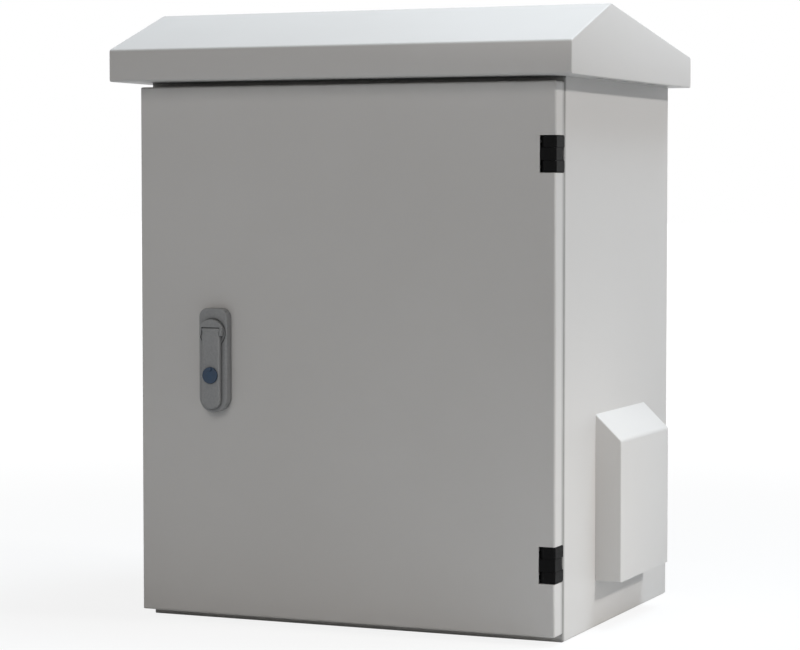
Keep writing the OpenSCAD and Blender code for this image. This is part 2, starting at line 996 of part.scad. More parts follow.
module gland_plate() {
  color([0.7, 0.71, 0.7])
    difference() {
      translate([0, gland_mid_y, gland_plate_z])
        linear_extrude(height = gland_sheet)
          rounded_rect(gland_w + 2 * gland_lap, gland_d + 2 * gland_lap, corner_r + 2);
      at_gland_screws()
        rod_z(0, gland_plate_top + 1, small_screw_r + slip);
      at_grommets()
        rod_z(0, gland_plate_top + 1, grommet_r + grommet_wall + slip);
    }
}

module gland_screws() {
  color([0.62, 0.63, 0.64])
    at_gland_screws() {
      rod_z(gland_plate_top, gland_plate_top + small_head_h, small_head_r);
      rod_z(0.2, gland_plate_top + 1, small_screw_r);
    }
}

// Blind grommets: a cup with a thin floor that the installer pierces for each cable
module cable_grommets() {
  r = grommet_r + grommet_wall;
  rim = r + grommet_flange;
  low = gland_plate_z - grommet_low;
  color([0.1, 0.1, 0.1])
    at_grommets()
      rotate_extrude($fn = round_fn)
        polygon([
          [0, low],
          [rim - 1, low],
          [rim, low + 1],
          [rim, gland_plate_z],
          [r, gland_plate_z],
          [r, gland_plate_top],
          [rim, gland_plate_top],
          [rim, gland_plate_top + 2],
          [r, gland_plate_top + 5],
          [grommet_r, gland_plate_top + 5],
          [grommet_r - 2, low + grommet_skin],
          [0, low + grommet_skin]
        ]);
}

// Rear rails

module rear_rail(z) {
  color([0.68, 0.69, 0.68])
    difference() {
      translate([0, 0, z])
        along_x(rail_len) {
          for (s = [-1, 1]) {
            translate([back_y + rail_t / 2, s * (rail_h + rail_foot - rail_t) / 2])
              square([rail_t, rail_foot + rail_t], center = true);
            translate([back_y + rail_depth / 2, s * (rail_h - rail_t) / 2])
              square([rail_depth, rail_t], center = true);
          }
          translate([rail_y - rail_t / 2, 0])
            square([rail_t, rail_h], center = true);
        }
      for (s = [-1, 1])
        translate([s * bolt_span / 2, 0, z])
          rod_y(rail_y - rail_t - 1, rail_y + 1, bolt_r);
    }
}

module upper_rail() {
  rear_rail(rail_z[1]);
}

module lower_rail() {
  rear_rail(rail_z[0]);
}

// Hinges

module at_hinges() {
  for (z = hinge_z)
    translate([0, 0, z])
      children();
}

module at_pin() {
  translate([pin_x, pin_y, 0])
    children();
}

// Outline of an end knuckle: round about the pin and flat on the outer sides
module end_knuckle_plan() {
  intersection() {
    translate([pin_x, pin_y])
      circle(r = knuckle_r, $fn = 96);
    translate([block_x0, block_y0])
      square([block_x1 - block_x0, front_y - block_y0]);
  }
}

module hinge_body_leaves() {
  z1 = hinge_h / 2;
  z0 = z1 - end_knuckle_h;
  color([0.07, 0.07, 0.07])
    difference() {
      at_hinges() {
        for (s = [0, 1])
          mirror([0, 0, s]) {
            translate([0, 0, z0])
              linear_extrude(height = end_knuckle_h)
                end_knuckle_plan();
            block([leaf_x0, front_y - leaf_t, z0], [half_w - 1, front_y, z1]);
          }
        block([leaf_x0, front_y - leaf_t, -z1], [leaf_x0 + 10, front_y, z1]);
      }
      at_hinges()
        at_pin()
          rod_z(-z1 - 1, z1 + 1, pin_r + slip);
      at_leaf_screws()
        rod_y(front_y - leaf_t - 1, front_y + 1, hinge_screw_r + slip);
    }
}

module at_door_leaf_screws() {
  for (z = hinge_z, s = [-1, 1])
    translate([door_leaf_screw_x, 0, z + s * leaf_screw_z])
      children();
}

module hinge_door_leaves() {
  color([0.07, 0.07, 0.07])
    difference() {
      at_hinges() {
        block([door_leaf_x0, door_skin_y, -hinge_h / 2], [door_leaf_x1, door_skin_y + leaf_t, hinge_h / 2]);
        block(
          [door_leaf_x1 - 1, door_skin_y, -knuckle_h / 2],
          [block_x0 + 1, door_skin_y + leaf_t, knuckle_h / 2]
        );
        translate([0, 0, -knuckle_h / 2])
          linear_extrude(height = knuckle_h)
            rounded_outline(
              box_points(block_x0, block_y0, block_x1, door_back_y),
              [1, 1, pin_in, 1]
            );
      }
      at_hinges()
        at_pin()
          rod_z(-hinge_h, hinge_h, pin_r + running);
      at_door_leaf_screws()
        rod_y(door_skin_y - 1, door_skin_y + leaf_t + 1, hinge_screw_r + slip);
    }
}

module hinge_pins() {
  color([0.6, 0.6, 0.61])
    at_hinges()
      at_pin()
        rod_z(-hinge_h / 2, hinge_h / 2, pin_r);
}

module hinge_body_screws() {
  color([0.3, 0.3, 0.3])
    at_leaf_screws() {
      rod_y(front_y - leaf_t - 1.6, front_y - leaf_t, hinge_head_r);
      rod_y(front_y - leaf_t - 1, front_y + sheet + 4, hinge_screw_r);
    }
}

module hinge_door_screws() {
  color([0.3, 0.3, 0.3])
    at_door_leaf_screws() {
      rod_y(door_skin_y + leaf_t, door_skin_y + leaf_t + 1.6, hinge_head_r);
      rod_y(door_skin_y + 0.1, door_skin_y + leaf_t + 1, hinge_screw_r);
    }
}

// Door

// The door's outer form, or its hollow, with every front edge and corner bent round
module door_form(d, r) {
  x = half_w - d;
  y0 = door_front_y + d;
  y1 = door_back_y + (d > 0 ? 1 : 0);
  z0 = door_bottom + d;
  z1 = door_top - d;
  intersection() {
    translate([0, 0, z0])
      linear_extrude(height = z1 - z0)
        rounded_outline(box_points(-x, y0, x, y1), [r, r, 0, 0]);
    along_x(2 * x)
      rounded_outline(box_points(y0, z0, y1, z1), [r, 0, 0, r]);
    plate_y(y0, y1)
      rounded_outline(box_points(-x, z0, x, z1), [r, r, r, r]);
  }
}

module at_lock() {
  translate([lock_x, door_front_y, lock_z])
    children();
}

module door_panel() {
  color([0.78, 0.79, 0.78])
    difference() {
      union() {
        difference() {
          door_form(0, bend_r);
          door_form(sheet, inner_bend);
        }
        plate_y(door_back_y - sheet, door_back_y)
          translate([0, door_mid_z])
            difference() {
              square([body_w - sheet, door_h - sheet], center = true);
              square([body_w - 2 * hem_w, door_h - 2 * hem_w], center = true);
            }
      }
      at_hinges()
        block(
          [notch_x, door_front_y - 1, -notch_h / 2],
          [half_w + 1, door_back_y + 1, notch_h / 2]
        );
      at_lock()
        rod_y(-1, sheet + 1, collar_r + slip);
      at_lock()
        translate([0, 0, anti_turn_z])
          rod_y(-1, sheet + 1, anti_turn_r + slip);
    }
}

module door_seal() {
  mid_w = opening_w - sheet;
  mid_h = opening_h - sheet;
  mid_r = corner_r + sheet / 2;
  color([0.1, 0.1, 0.1])
    plate_y(door_skin_y, seal_back_y)
      translate([0, box_mid_z])
        difference() {
          rounded_rect(mid_w + seal_w, mid_h + seal_w, mid_r + seal_w / 2);
          rounded_rect(mid_w - seal_w, mid_h - seal_w, mid_r - seal_w / 2);
        }
}

// Hat-shaped rib, open towards the door's skin
module rib_plan() {
  translate([-rib_top_w / 2, door_skin_y + rib_depth - sheet])
    square([rib_top_w, sheet]);
  for (s = [0, 1])
    mirror([s, 0]) {
      translate([rib_top_w / 2 - sheet, door_skin_y])
        square([sheet, rib_depth]);
      translate([rib_top_w / 2 - sheet, door_skin_y])
        square([rib_foot, sheet]);
    }
}

module door_ribs() {
  len = opening_h - 2 * rib_end;
  color([0.76, 0.77, 0.76])
    for (s = [-1, 1])
      translate([s * rib_x, 0, box_mid_z - len / 2])
        linear_extrude(height = len)
          rib_plan();
}

module at_door_stud() {
  translate([opening_w / 2 - door_stud_in, 0, box_mid_z - opening_h / 2 + door_stud_in])
    children();
}

module door_earth_stud() {
  color([0.62, 0.63, 0.64])
    at_door_stud() {
      rod_y(door_skin_y, door_skin_y + door_stud_flange_t, door_stud_flange_r);
      rod_y(door_skin_y, door_skin_y + door_stud_len, door_stud_r);
    }
}

module door_earth_nut() {
  color([0.75, 0.68, 0.42])
    at_door_stud()
      difference() {
        translate([0, door_stud_flange_t, 0])
          hex_y(door_skin_y, door_skin_y + door_nut_h, bolt_hex_r);
        rod_y(door_skin_y, door_skin_y + 2 * door_nut_h, door_stud_r + slip);
      }
}

// Swing-handle lock: distances out from the door's face are negative in Y

// Outline of the lock's base, round at the lower end
module lock_outline(d) {
  p = box_points(-lock_w / 2, -lock_down, lock_w / 2, lock_up);
  low = lock_w / 2 - 0.5 - d;
  high = 10 - d;
  rounded_outline(inset(p, d), [low, low, high, high]);
}

module lever_outline(d) {
  p = box_points(-lever_w / 2, -lever_down, lever_w / 2, fold_up);
  low = lever_w / 2 - 0.5 - d;
  rounded_outline(
    [p[0] + [d, d], p[1] + [-d, d], p[2] + [-d, 0], p[3] + [d, 0]],
    [low, low, 0, 0]
  );
}

module at_fold() {
  translate([0, -fold_out, fold_up])
    children();
}

module at_key() {
  translate([0, 0, -key_down])
    children();
}

module at_cover_pivot() {
  translate([0, 0, cover_pivot - key_down])
    children();
}

module lock_gasket() {
  color([0.1, 0.1, 0.1])
    at_lock()
      difference() {
        plate_y(-lock_pad, 0)
          lock_outline(1);
        rod_y(-lock_pad - 1, 1, collar_r + slip);
        translate([0, 0, anti_turn_z])
          rod_y(-lock_pad - 1, 1, anti_turn_r + slip);
      }
}

module lock_base() {
  edge = 2;
  color([0.5, 0.51, 0.52])
    at_lock()
      difference() {
        union() {
          hull() {
            plate_y(-lock_face + edge, -lock_pad)
              lock_outline(0);
            plate_y(-lock_face, -lock_pad)
              lock_outline(edge);
          }
          rod_y(-lock_pad - 1, sheet + collar_len, collar_r);
        }
        rod_y(-lock_face - 1, sheet + collar_len + 1, spindle_r + running);
        rod_y(-lock_face - 1, -lock_face + dish_t, dish_r);
        translate([0, 0, anti_turn_z])
          rod_y(-lock_pad - anti_turn_bite - 1, 1, anti_turn_r + slip);
      }
}

module lock_nut() {
  color([0.62, 0.63, 0.64])
    at_lock()
      difference() {
        hex_y(sheet, sheet + lock_nut_t, lock_nut_r);
        rod_y(0, sheet + lock_nut_t + 1, collar_r + slip);
      }
}

module lock_screw() {
  color([0.62, 0.63, 0.64])
    at_lock()
      translate([0, 0, anti_turn_z]) {
        rod_y(sheet, sheet + small_head_h, small_head_r);
        rod_y(-lock_pad - anti_turn_bite, sheet + 1, anti_turn_r);
      }
}

module lock_hub() {
  wall_z = fold_up + fold_r + clear;
  color([0.48, 0.49, 0.5])
    at_lock()
      difference() {
        union() {
          rod_y(-hub_floor_out, -hub_low, hub_r);
          difference() {
            intersection() {
              rod_y(-lever_out, -hub_low - 1, hub_r);
              block([-cheek_end, -lever_out - 1, -3], [cheek_end, -hub_low, 2 * hub_r]);
            }
            block([-cheek_x, -lever_out - 1, -hub_r], [cheek_x, -hub_floor_out, wall_z]);
          }
          rod_y(-hub_low - 1, latch_y, spindle_r);
          translate([0, latch_y, 0])
            cube([latch_square, 2 * latch_t, latch_square], center = true);
        }
        at_fold()
          rod_x(-2 * hub_r, 2 * hub_r, handle_pin_r + slip);
        rod_y(latch_y - 12, latch_y + 2 * latch_t, latch_screw_r + slip);
      }
}

module latch_cam() {
  color([0.62, 0.63, 0.64])
    at_lock()
      difference() {
        plate_y(latch_y, latch_y + latch_t)
          rounded_outline(
            box_points(-latch_len, -latch_w / 2, latch_w / 2, latch_w / 2),
            [4, latch_w / 2 - 0.5, latch_w / 2 - 0.5, 4]
          );
        cube([latch_square + 2 * slip, 4 * latch_y, latch_square + 2 * slip], center = true);
      }
}

module latch_screw() {
  y = latch_y + latch_t;
  color([0.62, 0.63, 0.64])
    at_lock() {
      rod_y(y, y + 1.4, 8);
      hex_y(y + 1, y + 5, 4.8);
      rod_y(latch_y - 10, y + 2, latch_screw_r);
    }
}

module handle_pin() {
  color([0.6, 0.6, 0.61])
    at_lock()
      at_fold()
        rod_x(-cheek_end + 0.5, cheek_end - 0.5, handle_pin_r);
}

module lock_lever() {
  edge = 2;
  color([0.5, 0.51, 0.52])
    at_lock()
      difference() {
        union() {
          difference() {
            hull() {
              plate_y(-lever_out + edge, -lever_low)
                lever_outline(0);
              plate_y(-lever_out, -lever_low)
                lever_outline(edge);
            }
            block([-lever_w, -hub_floor_out - fold_gap, -hub_r - 1], [lever_w, 0, fold_up + 1]);
          }
          at_fold()
            rod_x(-lever_w / 2, lever_w / 2, fold_r);
        }
        at_fold()
          rod_x(-lever_w, lever_w, handle_pin_r + running);
        at_key()
          rod_y(-lever_out - 1, 0, barrel_r + slip);
        at_key()
          rod_y(-key_pocket_out, 0, key_pocket_r);
        at_cover_pivot()
          rod_y(-lever_out - 1, -key_pocket_out - 1, cover_rivet_r + slip);
      }
}

module key_barrel() {
  color([0.7, 0.7, 0.7])
    at_lock()
      at_key()
        difference() {
          rod_y(-lever_out, -key_pocket_out, barrel_r);
          rod_y(-lever_out - 1, 0, plug_r + running);
        }
}

module key_plug() {
  color([0.75, 0.68, 0.42])
    at_lock()
      at_key()
        difference() {
          union() {
            rod_y(-lever_out + 0.2, -key_pocket_out + clear, plug_r);
            block([-2, -key_pocket_out + clear, -key_pocket_r + 1], [2, -lever_low - clear, plug_r]);
          }
          block([-0.8, -lever_out - 1, -plug_r + 0.8], [0.8, -lever_out + 2.5, plug_r - 0.8]);
        }
}

module cover_rivet() {
  color([0.62, 0.63, 0.64])
    at_lock()
      at_cover_pivot() {
        rod_y(-cover_out - 1.2, -cover_out - 0.2, cover_head_r);
        rod_y(-cover_out - 1, -key_pocket_out - 1.2, cover_rivet_r);
      }
}

module key_cover() {
  color([0.08, 0.13, 0.34])
    at_lock()
      difference() {
        at_key()
          rod_y(-cover_out, -cover_low, cover_r);
        at_cover_pivot()
          rod_y(-cover_out - 1, 0, cover_rivet_r + running);
      }
}

body_wrap();
top_panel();
bottom_panel();
door_frame();
rain_canopy();
canopy_bolts();
canopy_nuts();
vent_hood();
hood_rivets();
filter_frame();
filter_screws();
vent_filter();
fan_housing();
fan_rotor();
fan_guard();
fan_screws();
mounting_plate();
plate_studs();
plate_nuts();
earth_bar();
earth_posts();
earth_screws();
gland_gasket();
gland_plate();
gland_screws();
cable_grommets();
upper_rail();
lower_rail();
hinge_body_leaves();
hinge_door_leaves();
hinge_pins();
hinge_body_screws();
hinge_door_screws();
door_panel();
door_seal();
door_ribs();
door_earth_stud();
door_earth_nut();
lock_gasket();
lock_base();
lock_nut();
lock_screw();
lock_hub();
latch_cam();
latch_screw();
handle_pin();
lock_lever();
key_barrel();
key_plug();
cover_rivet();
key_cover();
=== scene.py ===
# %% [markdown]
# # A roadside utility cabinet
# The cabinet is a folded steel box on a pale floor. Its imported model is the fixed frame of this lesson:
# every solid is already at its real place and size, in metres, so the work here is finish and fine form.

# %% Load the imported model
import math

import bpy
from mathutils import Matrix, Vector


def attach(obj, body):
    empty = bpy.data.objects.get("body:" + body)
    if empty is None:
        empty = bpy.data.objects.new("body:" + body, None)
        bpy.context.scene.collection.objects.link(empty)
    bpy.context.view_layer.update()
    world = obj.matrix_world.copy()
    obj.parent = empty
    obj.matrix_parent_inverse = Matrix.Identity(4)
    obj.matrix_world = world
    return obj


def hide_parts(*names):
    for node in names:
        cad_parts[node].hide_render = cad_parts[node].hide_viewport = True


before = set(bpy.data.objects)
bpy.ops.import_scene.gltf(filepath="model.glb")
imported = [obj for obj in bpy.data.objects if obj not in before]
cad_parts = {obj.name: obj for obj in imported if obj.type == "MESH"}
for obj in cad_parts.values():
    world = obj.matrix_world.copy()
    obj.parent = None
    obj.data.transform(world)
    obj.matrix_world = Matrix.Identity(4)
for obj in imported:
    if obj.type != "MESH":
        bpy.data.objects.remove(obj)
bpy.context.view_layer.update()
MM = 0.001

# %% [markdown]
# ## Camera
# The camera stands to the right of the door, a little above the middle of the cabinet, and has a long lens.
# The place, the turn and the lens were found by fitting the corners of the box to the photograph.

# %% Camera
camera_data = bpy.data.cameras.new("long_lens")
camera_data.sensor_fit = "HORIZONTAL"
camera_data.sensor_width = 36.0
camera_data.lens = 115.98
camera = bpy.data.objects.new("camera", camera_data)
camera.location = (1.1704, -2.7970, 0.4922)
camera.rotation_euler = (math.radians(86.923), 0.0, 0.4027)
bpy.context.scene.collection.objects.link(camera)
bpy.context.scene.camera = camera
bpy.context.scene.view_settings.view_transform = "Standard"
print("camera stands", round(camera.location.length, 2), "m away")

# %% [markdown]
# ## Tools for nodes
# The studio and the finishes are built from nodes. These tools add one node at a time. A setting is a property of
# the node. An input is a number or a colour on the node's own socket, or a link from another node.

# %% Node tools


def add(tree, kind, settings=None, **inputs):
    """One node. An input goes by its socket's name, or by _ and the socket's number."""
    made = tree.nodes.new("ShaderNode" + kind)
    for label, value in (settings or {}).items():
        setattr(made, label, value)
    for label, value in inputs.items():
        socket = made.inputs[int(label[1:])] if label[0] == "_" else made.inputs[label.replace("_", " ")]
        if isinstance(value, bpy.types.NodeSocket):
            tree.links.new(value, socket)
        else:
            socket.default_value = (*value, 1) if socket.type == "RGBA" else value
    return made


def calc(tree, operation, first, second=0.0):
    """The result of one Math node."""
    return add(tree, "Math", {"operation": operation}, _0=first, _1=second).outputs[0]


def spread(tree, value, low, high, new_low=0.0, new_high=1.0):
    """Maps a value from one range to another and holds it there."""
    return add(tree, "MapRange", {"clamp": True}, Value=value, From_Min=low, From_Max=high,
               To_Min=new_low, To_Max=new_high).outputs["Result"]


def blend_colour(tree, factor, first, second):
    """A colour between two others."""
    return add(tree, "Mix", {"data_type": "RGBA"}, _0=factor, _6=first, _7=second).outputs[2]


print("node tools: add, calc, spread, blend_colour")

# %% [markdown]
# ## Studio
# The roof and the hood's slope are the brightest faces, the right-hand wall comes next and the door lies in half
# shade. A small lamp stands far out at the right. The short sharp shadow under the canopy gives its height: it falls
# about 16 mm down the wall for an overhang of 26 mm. A large bluish soft box hangs high up, behind the cabinet and
# to its right, and lights the roof. A weak fill faces the door, and a very weak one with a narrow beam lights the
# foot of the wall before the hood. The white backdrop shows only to the camera and in reflections. What falls on
# the paint from there is weak ambient light.

# %% Studio: world and lamps
AMBIENT = 0.10
LAMP_HEIGHT = math.radians(35)
LAMP_AWAY = 4.0
NARROW_BEAM = math.radians(60)


def seen_directly(tree):
    """1 where the camera, a reflection or a see-through ray looks, and 0 for the light that bounces."""
    path = add(tree, "LightPath")
    seen = path.outputs["Is Camera Ray"]
    for ray in ("Is Glossy Ray", "Is Transmission Ray"):
        seen = calc(tree, "MAXIMUM", seen, path.outputs[ray])
    return seen


world = bpy.data.worlds.new("studio")
bpy.context.scene.world = world
world.use_nodes = True
tree = world.node_tree
tree.nodes.clear()
ambient = add(tree, "Background", Color=(1.0, 0.985, 0.955), Strength=AMBIENT)
backdrop = add(tree, "Background", Color=(1, 1, 1), Strength=1.0)
chosen = add(tree, "MixShader", Fac=seen_directly(tree), _1=ambient.outputs[0], _2=backdrop.outputs[0])
add(tree, "OutputWorld", Surface=chosen.outputs[0])


def soft_lamp(name, place, target, size, power, colour):
    """A square soft box that faces its target."""
    lamp_data = bpy.data.lights.new(name, "AREA")
    lamp_data.shape = "SQUARE"
    lamp_data.size = size
    lamp_data.energy = power
    lamp_data.color = colour
    lamp = bpy.data.objects.new(name, lamp_data)
    lamp.location = place
    lamp.rotation_euler = (Vector(target) - Vector(place)).to_track_quat("-Z", "Y").to_euler()
    lamp.visible_camera = False
    bpy.context.scene.collection.objects.link(lamp)
    return lamp


wall_middle = Vector((0.25, 0.0, 0.3))
to_lamp = Vector((math.cos(LAMP_HEIGHT), 0.0, math.sin(LAMP_HEIGHT)))
soft_lamp("right_lamp", wall_middle + to_lamp * LAMP_AWAY, wall_middle, 0.35, 67.5, (1, 0.98, 0.96))
soft_lamp("top_lamp", (1.24, 0.80, 4.76), (0.2, 0.0, 0.6), 1.9, 197, (0.785, 0.90, 1.0))
soft_lamp("front_fill", (0.2, -3.2, 2.2), (0.0, -0.2, 0.4), 2.0, 30, (1, 0.985, 0.97))
low_fill = soft_lamp("low_fill", (0.70, -0.205, 0.14), (0.25, -0.15, 0.12), 0.3, 0.085, (1, 0.97, 0.92))
low_fill.data.spread = NARROW_BEAM

# %% [markdown]
# The floor is one pale sheet. Most of what the camera sees of it is the white of the backdrop, and the rest is
# its own surface, which is enough for the cabinet's shadow to lie on it. Farther out the white takes over, so that
# the floor runs into the backdrop without a line. The floor is palest close to the cabinet, and so it lights the
# lower parts of the walls most.

# %% Studio: floor
WHITE_FROM, WHITE_TO = 0.5, 3.0
PALE_FROM, PALE_TO = 0.45, 1.2

bpy.ops.object.select_all(action="DESELECT")
bpy.ops.mesh.primitive_plane_add(size=60, location=(0, 0, -0.0003))
floor = bpy.context.object
floor.name = "floor"
paper = bpy.data.materials.new("pale_paper")
paper.use_nodes = True
tree = paper.node_tree
surface = tree.nodes["Principled BSDF"]
surface.inputs["Roughness"].default_value = 0.9
surface.inputs["Specular IOR Level"].default_value = 0.0
place = add(tree, "TexCoord").outputs["Object"]
away = add(tree, "VectorMath", {"operation": "LENGTH"}, _0=place).outputs["Value"]
tree.links.new(spread(tree, away, PALE_FROM, PALE_TO, 0.53, 0.33), surface.inputs["Base Color"])
white = add(tree, "Emission", Strength=1.1)
whiter = calc(tree, "MULTIPLY", seen_directly(tree), spread(tree, away, WHITE_FROM, WHITE_TO, 0.78, 1.0))
both = add(tree, "MixShader", Fac=whiter, _1=surface.outputs[0], _2=white.outputs[0])
tree.links.new(both.outputs[0], tree.nodes["Material Output"].inputs["Surface"])
floor.data.materials.append(paper)
print("floor:", [round(x) for x in floor.dimensions])

# %% [markdown]
# ## Node groups for the finishes
# Several finishes share the same small effects, so each effect is one node group with named inputs: the fine skin
# of a powder coat, worn edges, a film of dust, painted shade in gaps and on the door's lips, zinc crystals, the grain
# of castings and mouldings, and drawn lines. A group gives out masks, tones and heights. The shader stays in each
# material.

# %% Group helpers


def new_group(name, values, results):
    """An empty shader node group with a Vector input, named values and named results, and its inner sockets."""
    group = bpy.data.node_groups.new(name, "ShaderNodeTree")
    group.interface.new_socket("Vector", in_out="INPUT", socket_type="NodeSocketVector")
    for label, default in values.items():
        socket = group.interface.new_socket(label, in_out="INPUT", socket_type="NodeSocketFloat")
        socket.default_value = default
    for label in results:
        group.interface.new_socket(label, in_out="OUTPUT", socket_type="NodeSocketFloat")
    print("group:", name)
    return group, group.nodes.new("NodeGroupInput").outputs, group.nodes.new("NodeGroupOutput").inputs


def noise(group, place, scale, detail):
    """The value of a noise pattern."""
    return add(group, "TexNoise", Vector=place, Scale=scale, Detail=detail).outputs["Fac"]


print("group helpers: new_group, noise")

# %% [markdown]
# Powder coat melts into a skin with a very fine ripple, about two millimetres from crest to crest. Under it the
# sheet itself is never quite flat, and the coat's tone drifts a little over a hand's width.

# %% Group: powder coat skin
skin, ins, outs = new_group("powder_skin", {"Ripple": 520.0, "Drift": 4.0}, ["Height", "Tone"])
ripple = noise(skin, ins["Vector"], ins["Ripple"], 2.0)
sway = noise(skin, ins["Vector"], 7.0, 1.0)
drift = noise(skin, ins["Vector"], ins["Drift"], 4.0)
height = calc(skin, "ADD", calc(skin, "MULTIPLY", ripple, 0.12), sway)
skin.links.new(height, outs["Height"])
skin.links.new(spread(skin, drift, 0.3, 0.7), outs["Tone"])

# %% [markdown]
# A coat is thinnest on an outer edge, and hands and tools rub there first. The Bevel node looks how far the
# surface turns within a short distance. Where it turns sharply there is an edge, and noise breaks the line up.

# %% Group: worn edges
wear, ins, outs = new_group("worn_edges", {"Reach": 0.0012, "Breaks": 60.0}, ["Mask"])
rounded = add(wear, "Bevel", {"samples": 4}, Radius=ins["Reach"])
facing = add(wear, "NewGeometry")
agree = add(wear, "VectorMath", {"operation": "DOT_PRODUCT"}, _0=rounded.outputs["Normal"],
            _1=facing.outputs["Normal"])
edge = spread(wear, agree.outputs["Value"], 0.99, 0.8)
broken = spread(wear, noise(wear, ins["Vector"], ins["Breaks"], 3.0), 0.35, 0.65)
wear.links.new(calc(wear, "MULTIPLY", edge, broken), outs["Mask"])

# %% [markdown]
# Road dust settles on what faces up and splashes against what is low. The mask adds both and breaks them up.

# %% Group: dust film
dust, ins, outs = new_group("dust_film", {"Splash Height": 0.12, "Patches": 9.0}, ["Mask"])
split = add(dust, "SeparateXYZ", Vector=ins["Vector"])
low_down = spread(dust, calc(dust, "DIVIDE", split.outputs["Z"], ins["Splash Height"]), 1.0, 0.0)
up = add(dust, "SeparateXYZ", Vector=add(dust, "NewGeometry").outputs["Normal"])
settled = spread(dust, up.outputs["Z"], 0.5, 1.0, 0.0, 0.5)
patchy = spread(dust, noise(dust, ins["Vector"], ins["Patches"], 6.0), 0.35, 0.75)
laid = calc(dust, "MAXIMUM", calc(dust, "MULTIPLY", low_down, 0.7), settled)
dust.links.new(calc(dust, "MULTIPLY", laid, patchy), outs["Mask"])

# %% [markdown]
# This mask paints shade into narrow gaps. The Ambient Occlusion node tells how much of its outlook a point loses to
# faces a few millimetres away, and only points in one range of depth count: the gap round the door, or the lock's
# recesses.

# %% Group: painted shade in gaps
# Painted shade: points hidden by faces a few millimetres away turn dark.
shade_in_gaps, ins, outs = new_group("gap_painted_shade", {"Reach": 0.005, "Front": -0.2122, "Back": -0.183}, ["Mask"])
outlook = add(shade_in_gaps, "AmbientOcclusion", {"samples": 8}, Distance=ins["Reach"])
hidden = spread(shade_in_gaps, outlook.outputs["AO"], 0.92, 0.45)
depth = add(shade_in_gaps, "SeparateXYZ", Vector=ins["Vector"]).outputs["Y"]
behind = calc(shade_in_gaps, "GREATER_THAN", depth, ins["Front"])
before = calc(shade_in_gaps, "LESS_THAN", depth, ins["Back"])
shade_in_gaps.links.new(calc(shade_in_gaps, "MULTIPLY", hidden, calc(shade_in_gaps, "MULTIPLY", behind, before)), outs["Mask"])

# %% [markdown]
# A painted shadow band lies over both lips of the door's gap. The band is darkest at the gap, runs out over a few
# millimetres, and lies only on the outside of the box's two sides below the canopy.

# %% Group: painted shade on the lips of the door gap
# Painted shade: a dark band over both lips of the door's gap.
shade_on_lips, ins, outs = new_group("lip_painted_shade", {"Side": 0.2485, "Top": 0.607}, ["Mask"])
at = add(shade_on_lips, "SeparateXYZ", Vector=ins["Vector"]).outputs
door_lip = spread(shade_on_lips, at["Y"], -0.197, -0.189)
wall_lip = spread(shade_on_lips, at["Y"], -0.182, -0.186)
outside = calc(shade_on_lips, "GREATER_THAN", calc(shade_on_lips, "ABSOLUTE", at["X"]), ins["Side"])
below = calc(shade_on_lips, "LESS_THAN", at["Z"], ins["Top"])
uneven = spread(shade_on_lips, noise(shade_on_lips, ins["Vector"], 28.0, 4.0), 0.3, 0.7, 0.8, 1.0)
band = calc(shade_on_lips, "MULTIPLY", calc(shade_on_lips, "MINIMUM", door_lip, wall_lip), uneven)
shade_on_lips.links.new(calc(shade_on_lips, "MULTIPLY", band, calc(shade_on_lips, "MULTIPLY", outside, below)), outs["Mask"])

# %% [markdown]
# Zinc freezes into flat crystals, each of which mirrors the light its own way. Voronoi cells have that outline,
# and each cell's random colour gives its tone. A fine noise clouds them.

# %% Group: zinc crystals
zinc, ins, outs = new_group("zinc_crystals", {"Size": 90.0, "Cloud": 25.0}, ["Tone", "Height"])
cells = add(zinc, "TexVoronoi", Vector=ins["Vector"], Scale=ins["Size"])
cell_tone = add(zinc, "SeparateXYZ", Vector=cells.outputs["Color"]).outputs["X"]
cloud = noise(zinc, ins["Vector"], ins["Cloud"], 5.0)
tone = calc(zinc, "ADD", calc(zinc, "MULTIPLY", cell_tone, 0.55), calc(zinc, "MULTIPLY", cloud, 0.45))
zinc.links.new(tone, outs["Tone"])
zinc.links.new(cells.outputs["Distance"], outs["Height"])

# %% [markdown]
# Die castings, mouldings and rubber all carry the grain of their mould. Coarse and fine noise together serve
# for all of them: the material sets the scale and how deep the grain lies.

# %% Group: mould grain
grain, ins, outs = new_group("mould_grain", {"Coarse": 350.0, "Fine": 1500.0}, ["Height", "Tone"])
coarse = noise(grain, ins["Vector"], ins["Coarse"], 3.0)
fine = noise(grain, ins["Vector"], ins["Fine"], 2.0)
height = calc(grain, "ADD", calc(grain, "MULTIPLY", coarse, 0.6), calc(grain, "MULTIPLY", fine, 0.4))
grain.links.new(height, outs["Height"])
grain.links.new(spread(grain, coarse, 0.3, 0.7), outs["Tone"])

# %% [markdown]
# Rolled or drawn metal has fine lines along its length. Noise that is stretched along one axis draws them.

# %% Group: drawn lines
lines, ins, outs = new_group("drawn_lines", {"Along X": 30.0, "Across": 900.0}, ["Tone"])
squeeze = add(lines, "CombineXYZ", X=ins["Along X"], Y=ins["Across"], Z=ins["Across"])
stretched = add(lines, "VectorMath", {"operation": "MULTIPLY"}, _0=ins["Vector"], _1=squeeze.outputs[0])
streaks = noise(lines, stretched.outputs[0], 1.0, 4.0)
lines.links.new(spread(lines, streaks, 0.3, 0.7), outs["Tone"])

# %% [markdown]
# ## Finishes
# Every finish starts from the same few nodes: object coordinates, the shader and a Bump node. What is the same
# all over a surface is written on the shader's own sockets. Wear, dust and painted shade are layers over the base
# colour.

# %% Finish helpers


def new_finish(name, bump_depth, **shader_values):
    """A material with its shader, object coordinates and a Bump node that already reaches the shader."""
    material = bpy.data.materials.new(name)
    material.use_nodes = True
    tree = material.node_tree
    shader = tree.nodes["Principled BSDF"]
    for label, value in shader_values.items():
        shader.inputs[label.replace("_", " ")].default_value = value
    place = add(tree, "TexCoord").outputs["Object"]
    bump = add(tree, "Bump", Distance=bump_depth)
    tree.links.new(bump.outputs["Normal"], shader.inputs["Normal"])
    return material, tree, shader, place, bump


